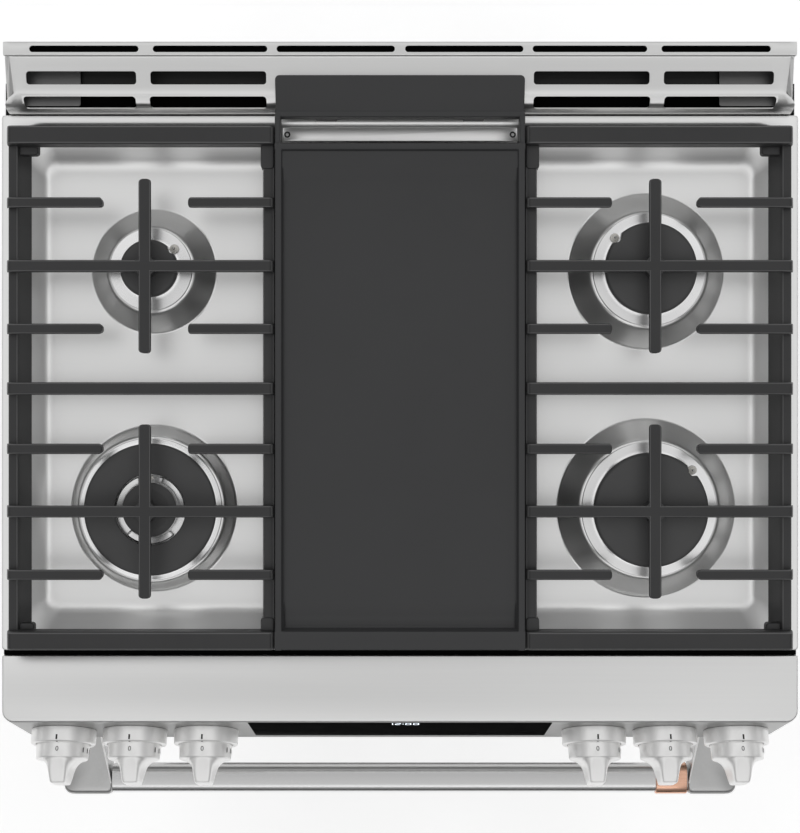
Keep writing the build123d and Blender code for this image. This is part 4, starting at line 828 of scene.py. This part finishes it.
# ------------------------------------------------------------ control panel
def build_panel():
    g = Geo()
    # ring of the panel's plan outline, from the back of the top to the foot of the fascia
    def ring(z, yf, r, inset=0.0):
        return lift(rrect(-381 + inset, 381 - inset, yf + inset, -200.0 - inset * 0.3, (r, r, 0.8, 0.8), 10), z)
    rings = [ring(915.0, -263.4, 9.4, 1.6), ring(914.85, -263.4, 10.0, 0.95), ring(914.3, -263.55, 10.6, 0.35), ring(913.5, -263.9, 11.0, 0.0)]
    for i in range(1, 13):
        z = 913.5 - (913.5 - 822.0) * i / 12
        rings.append(ring(z, -263.4 - (915.0 - z) * tan(TILT), 11.0))
    rings += [ring(821.3, -299.0, 10.7, 0.3), ring(821.0, -299.0, 10.2, 0.9)]
    g.rings(rings)
    o = make("control_panel_formed", g.v, g.f, "chassis", angle=38, mats=[STEEL, FASCIA_PAINTED_SHADE], face_mats=g.m)
    # faces turned forwards down the fascia take the darker copy: painted shade
    for f in o.data.polygons:
        if f.normal.y < -0.6 and abs(f.normal.x) < 0.5 and f.center.z < 0.9146:
            f.material_index = 1
    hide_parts("control_panel")
    # display glass, a hair proud of the fascia
    d = Geo()
    r = []
    for h, i in ((-1.0, 0.0), (0.15, 0.0), (0.34, 0.12), (0.4, 0.4)):
        r.append([fascia(x, s, h) for x, s in rrect(-146 + i, 146 - i, 2.6 + i, 85.2 - i, 1.0, 4)])
    d.rings(r)
    o = make("display_glass_polished", d.v, d.f, "chassis", BLACKGLASS, angle=38)
    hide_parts("display_glass")
    # seven-segment clock digits
    seg = Geo()
    def bar7(x0, s0, x1, s1, w):
        dx, ds = x1 - x0, s1 - s0
        L = sqrt(dx * dx + ds * ds); dx /= L; ds /= L
        nx, ns = -ds, dx
        e = w / 2
        pts = [(x0, s0), (x0 + dx * e + nx * e, s0 + ds * e + ns * e), (x1 - dx * e + nx * e, s1 - ds * e + ns * e), (x1, s1),
               (x1 - dx * e - nx * e, s1 - ds * e - ns * e), (x0 + dx * e - nx * e, s0 + ds * e - ns * e)]
        seg.rings([[fascia(x, s, 0.41) for x, s in pts], [fascia(x, s, 0.47) for x, s in pts]])
    on = {"1": "bc", "0": "abcdef", "2": "abged", "3": "abgcd"}
    def digit(ch, cx, s0, w=4.6, h=9.0, t=1.0):
        L, R, T, M, B = cx - w / 2, cx + w / 2, s0, s0 + h / 2, s0 + h
        q = 0.25
        S = {"a": (L + q, T, R - q, T), "b": (R, T + q, R, M - q), "c": (R, M + q, R, B - q), "d": (L + q, B, R - q, B), "e": (L, M + q, L, B - q), "f": (L, T + q, L, M - q), "g": (L + q, M, R - q, M)}
        for k in on[ch]:
            bar7(*S[k], t)
    for ch, cx in (("1", -9.5), ("2", -2.0), ("0", 8.0), ("0", 15.5)):
        digit(ch, cx, 4.4)
    for s in (7.2, 10.6):
        seg.rings([[fascia(3.0 + x, s + y, 0.41) for x, y in rrect(-0.6, 0.6, -0.6, 0.6, 0.3, 3)], [fascia(3.0 + x, s + y, 0.47) for x, y in rrect(-0.6, 0.6, -0.6, 0.6, 0.3, 3)]])
    make("display_digits", seg.v, seg.f, "chassis", DIGIT, angle=30)


def text_mesh(name, s, size, place, body, mat, thick=0.06):
    """Flat generic numeral, laid by place(u, v, h) in millimetres."""
    cu = bpy.data.curves.new(name, "FONT")
    cu.body = s; cu.size = size; cu.align_x = "CENTER"; cu.align_y = "CENTER"; cu.extrude = thick / 2; cu.resolution_u = 4
    ob = bpy.data.objects.new(name, cu)
    bpy.context.scene.collection.objects.link(ob)
    bpy.context.view_layer.update()
    me = bpy.data.meshes.new_from_object(ob.evaluated_get(bpy.context.evaluated_depsgraph_get()))
    bpy.data.objects.remove(ob); bpy.data.curves.remove(cu)
    v = [place(p.co.x, p.co.y, p.co.z + thick / 2) for p in me.vertices]
    f = [list(p.vertices) for p in me.polygons]
    bpy.data.meshes.remove(me)
    return make(name, v, f, body, mat, angle=30)


def build_knobs():
    bz = Geo(); ticks = Geo()
    for kx in KNOB_X:
        def P(u, v, h, kx=kx):
            # u across, v up the fascia, h out
            return fascia(kx + u, KNOB_S - v, h)
        prof = [(26.5, 0.05), (31.0, 0.05), (31.4, 0.5), (31.3, 12.6), (31.05, 13.8), (30.3, 14.5), (29.4, 14.75), (27.4, 14.8), (26.8, 14.6), (26.5, 14.1)]
        rings = [[P(r * cos(2 * pi * i / 96), r * sin(2 * pi * i / 96), h) for i in range(96)] for r, h in prof]
        rings.append(rings[0])
        bz.rings(rings, cap0=False, cap1=False)
        # pointer tick on the rim at twelve o'clock
        q = [(-0.75, 27.3), (0.75, 27.3), (0.75, 29.6), (-0.75, 29.6)]
        ticks.rings([[P(u, v, 14.6) for u, v in q], [P(u, v, 14.92) for u, v in q]])
        # and on along the outside of the rim
        ticks.rings([[P(u, 30.9, h) for u, h in ((-0.8, 8.4), (0.8, 8.4), (0.8, 13.0), (-0.8, 13.0))], [P(u, 31.46, h) for u, h in ((-0.8, 8.4), (0.8, 8.4), (0.8, 12.9), (-0.8, 12.9))]])
        ticks.rings([[P(u, v, h) for u, v, h in ((-0.8, 31.46, 12.8), (0.8, 31.46, 12.8), (0.8, 29.5, 14.92), (-0.8, 29.5, 14.92))], [P(u, v, h) for u, v, h in ((-0.8, 30.6, 12.6), (0.8, 30.6, 12.6), (0.8, 29.4, 14.2), (-0.8, 29.4, 14.2))]])
    o = make("knob_bezel_rings", bz.v, bz.f, "chassis", KNOB, angle=30)
    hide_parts("knob_bezels")
    make("bezel_ticks", ticks.v, ticks.f, "chassis", INK, angle=30)

    for k, kx in enumerate(KNOB_X, 1):
        def P(u, v, h, kx=kx):
            return fascia(kx + u, KNOB_S - v, h)
        N = 96
        # (half width across, half length up-down, squareness, height)
        R = [(24.0, 24.0, 2.0, 9.2), (25.6, 25.6, 2.0, 10.6), (25.8, 25.8, 2.0, 12.5), (25.5, 25.5, 2.0, 20.0), (25.2, 25.2, 2.0, 27.2), (24.95, 24.95, 2.0, 28.2), (24.3, 24.3, 2.0, 28.8)]
        R += [(22.8, 23.9, 2.02, 29.2), (20.0, 23.6, 2.15, 29.8), (17.4, 23.2, 2.4, 30.9), (15.0, 22.6, 2.8, 32.4), (13.1, 21.9, 3.3, 34.2), (11.7, 21.2, 4.0, 36.2), (10.7, 20.3, 4.8, 38.4), (10.0, 19.3, 5.5, 40.8),
              (9.4, 18.1, 6.0, 43.4), (8.9, 16.9, 6.4, 46.0), (8.4, 15.6, 6.6, 48.6), (8.0, 14.7, 6.6, 50.4), (7.7, 14.2, 6.4, 51.3), (7.1, 13.6, 6.0, 51.85), (6.2, 12.7, 6.0, 52.0)]
        rings = []
        for a, b, e, h in R:
            ring = []
            for i in range(N):
                t = 2 * pi * i / N
                c, s_ = cos(t), sin(t)
                x = a * (abs(c) ** (2 / e)) * (1 if c >= 0 else -1)
                y = b * (abs(s_) ** (2 / e)) * (1 if s_ >= 0 else -1)
                ring.append(P(x, y, h))
            rings.append(ring)
        g = Geo(); g.rings(rings)
        body = "knob_body_%d" % k
        o = make("knob_%d_turned" % k, g.v, g.f, body, KNOB, angle=42)
        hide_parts("knob_%d" % k)
        # generic dial marks: 0 at the top, and short ticks round the left side
        def flat(u, v, h, P=P):
            return P(u, v + 21.6, 0)
        def skirt(u, v, h, kx=kx):
            # wrapped round the body just in front of the bezel
            th = pi / 2 - u / 25.6
            r = 25.72 + h - 0.02 * (v)
            return fascia(kx + r * cos(th), KNOB_S - r * sin(th), 21.4 - v)
        text_mesh("knob_%d_zero" % k, "0", 6.4, lambda u, v, h, sk=skirt: sk(u, v, h), body, GRAYINK)
        mk = Geo()
        for d in (62, 80, 98):
            for sg in (-1,):
                th = pi / 2 + sg * radians(d)
                q = []
                for rr, dth in ((25.65, -0.02), (25.65, 0.02), (25.86, 0.02), (25.86, -0.02)):
                    q.append((rr, th + dth))
                lo = [fascia(kx + r * cos(a), KNOB_S - r * sin(a), 18.6) for r, a in q]
                hi = [fascia(kx + r * cos(a), KNOB_S - r * sin(a), 23.2) for r, a in q]
                mk.rings([lo, hi])
        make("knob_%d_marks" % k, mk.v, mk.f, body, GRAYINK, angle=30)


# -------------------------------------------------------------- door handle
def build_handle():
    g = Geo()
    n = 48
    Y, Z = -363.0, 730.0
    def sec(x, ry, rz, e=3.0):
        out = []
        for i in range(n):
            t = 2 * pi * i / n
            c, s = cos(t), sin(t)
            out.append((x, Y + ry * (abs(c) ** (2 / e)) * (1 if c >= 0 else -1), Z + rz * (abs(s) ** (2 / e)) * (1 if s >= 0 else -1)))
        return out
    g.rings([sec(x, 15.0, 13.0) for x in (-310.4, -200, -100, 0, 100, 200, 310.4)])
    o = make("handle_bar_drawn", g.v, g.f, "door", BAR, angle=40)
    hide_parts("handle_bar")
    b = Geo()
    def band(x, k):
        return sec(x, 15.0 + k, 13.0 + k)
    b.rings([band(276.0, 0.02), band(276.0, 1.2), band(276.4, 1.7), band(277.0, 1.9), band(308.8, 1.9), band(309.4, 1.7), band(309.8, 1.2), band(309.8, 0.02)], cap0=False, cap1=False)
    o = make("handle_band_copper", b.v, b.f, "door", COPPER, angle=40)
    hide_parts("handle_band")
    br = Geo()
    for s in (-1, 1):
        out = [(325.2, -297.05), (322.8, -308.0), (319.4, -324.0), (315.8, -340.0), (312.4, -355.0), (310.4, -366.0), (310.2, -372.0), (310.6, -376.0), (311.8, -378.6), (314.0, -379.8), (317.5, -380.0),
               (350.0, -380.0), (354.8, -379.6), (358.4, -378.2), (360.8, -375.4), (362.0, -371.0), (362.4, -364.0), (362.6, -297.05)]
        rr = []
        for dz, i, fr in ((-15.0, 1.4, 6.4), (-14.2, 0.5, 4.6), (-12.4, 0.0, 2.4), (-9.0, 0.0, 0.8), (-4.0, 0.0, 0.0), (4.0, 0.0, 0.0), (9.0, 0.0, 0.8), (12.4, 0.0, 2.4), (14.2, 0.5, 4.6), (15.0, 1.4, 6.4)):
            ring = []
            for x, y in out:
                xx = x - i if x > 337 else x + i
                yy = y + fr * max(0.0, min(1.0, (-y - 352.0) / 24.0))
                ring.append((s * xx, yy, Z + dz))
            rr.append(ring)
        br.rings(rr)
    # thin strips of the light knob finish along the brackets' inner top edges: painted highlight
    ln = Geo()
    for s in (-1, 1):
        path = [(325.2, -298.0), (322.8, -308.0), (319.4, -324.0), (315.8, -340.0), (312.4, -355.0), (310.4, -366.0)]
        ln.rings([[(s * (x + 0.1), y, Z + 13.4), (s * (x + 1.7), y, Z + 14.6), (s * (x + 1.6), y, Z + 15.05), (s * (x + 0.5), y, Z + 14.9)] for x, y in path])
    make("bracket_edge_painted_highlight", ln.v, ln.f, "door", KNOB, angle=34)
    o = make("handle_brackets_cast", br.v, br.f, "door", BRACKET, angle=34)
    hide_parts("handle_brackets")


build_pan()
build_burners()
build_grate(-1, "grate_left_cast", "grate_left", "grate_l")
build_grate(1, "grate_right_cast", "grate_right", "grate_r")
build_griddle()
build_vent()
build_panel()
build_knobs()
build_handle()

# ---------------------------------------------------------- floor and lights
def plain_floor():
    me = bpy.data.meshes.new("floor")
    me.from_pydata([(-6, -6, -0.0005), (6, -6, -0.0005), (6, 6, -0.0005), (-6, 6, -0.0005)], [], [(0, 1, 2, 3)])
    o = bpy.data.objects.new("floor", me)
    bpy.context.scene.collection.objects.link(o)
    m, t, b = nt("floor_white")
    n = noise(t, coords(t, (1, 1, 1)), 3.0, 2.0)
    t.links.new(ramp(t, n, ((0.3, 0.90), (0.7, 0.93))), b.inputs["Base Color"])
    b.inputs["Roughness"].default_value = 0.9
    b.inputs["Specular IOR Level"].default_value = 0.1
    t.links.new(ramp(t, n, ((0.3, 0.97), (0.7, 1.0))), b.inputs["Emission Color"])
    b.inputs["Emission Strength"].default_value = 0.47
    me.materials.append(m)


plain_floor()


def area(name, loc, target, size, power, size_y=None, colour=(1, 1, 1)):
    d = bpy.data.lights.new(name, "AREA")
    d.energy = power; d.color = colour
    d.shape = "RECTANGLE"; d.size = size; d.size_y = size_y or size
    o = bpy.data.objects.new(name, d)
    bpy.context.scene.collection.objects.link(o)
    o.location = loc
    o.rotation_euler = (Vector(target) - Vector(loc)).to_track_quat("-Z", "Y").to_euler()
    return o


area("overhead", (0, 0.1, 3.6), (0, 0, 0.9), 3.4, 8.5)
area("left_strip", (-3.0, 0.3, 1.5), (0, 0.1, 0.9), 3.2, 4.5, 0.5)
area("right_strip", (3.0, 0.3, 1.5), (0, 0.1, 0.9), 3.2, 4.5, 0.5)
area("front_key", (0, -2.1, 3.0), (0, -0.3, 0.85), 2.6, 3.2, 0.5)
area("back_strip", (0, 3.2, 1.7), (0, 0.2, 0.9), 3.0, 8, 0.8)

# studio surround: bright above, darker towards the front horizon
w = bpy.context.scene.world or bpy.data.worlds.new("studio")
bpy.context.scene.world = w
w.use_nodes = True
wt = w.node_tree
bg = wt.nodes.get("Background") or wt.nodes.new("ShaderNodeBackground")
tc = wt.nodes.new("ShaderNodeTexCoord")
sx = wt.nodes.new("ShaderNodeSeparateXYZ")
wt.links.new(tc.outputs["Generated"], sx.inputs["Vector"])
yr = wt.nodes.new("ShaderNodeMapRange")
yr.inputs["From Min"].default_value = -1.0
wt.links.new(sx.outputs["Y"], yr.inputs["Value"])
low = ramp(wt, yr.outputs["Result"], ((0.0, 0.05), (0.35, 0.12), (0.6, 0.26), (1.0, 0.48)))
high = ramp(wt, sx.outputs["Z"], ((0.0, 0.34), (0.60, 0.36), (0.74, 0.66), (0.85, 0.98), (0.93, 0.50), (1.0, 0.39)))
mixer = wt.nodes.new("ShaderNodeMix")
mixer.data_type = "RGBA"
fade = wt.nodes.new("ShaderNodeMapRange")
fade.interpolation_type = "SMOOTHSTEP"
fade.inputs["From Min"].default_value = 0.02
fade.inputs["From Max"].default_value = 0.80
wt.links.new(sx.outputs["Z"], fade.inputs["Value"])
wt.links.new(fade.outputs["Result"], mixer.inputs["Factor"])
wt.links.new(low, mixer.inputs[6])
wt.links.new(high, mixer.inputs[7])
wt.links.new(mixer.outputs[2], bg.inputs["Color"])
bg.inputs["Strength"].default_value = 1.0

cam = bpy.data.cameras.new("camera")
cam.lens = 61.0; cam.sensor_width = 36.0; cam.sensor_fit = "AUTO"
cam.clip_start = 0.05; cam.clip_end = 50
co = bpy.data.objects.new("camera", cam)
bpy.context.scene.collection.objects.link(co)
co.location = (0.0, 0.029, 2.265)
co.rotation_euler = (0, 0, 0)
bpy.context.scene.camera = co
bpy.context.scene.view_settings.view_transform = "Standard"
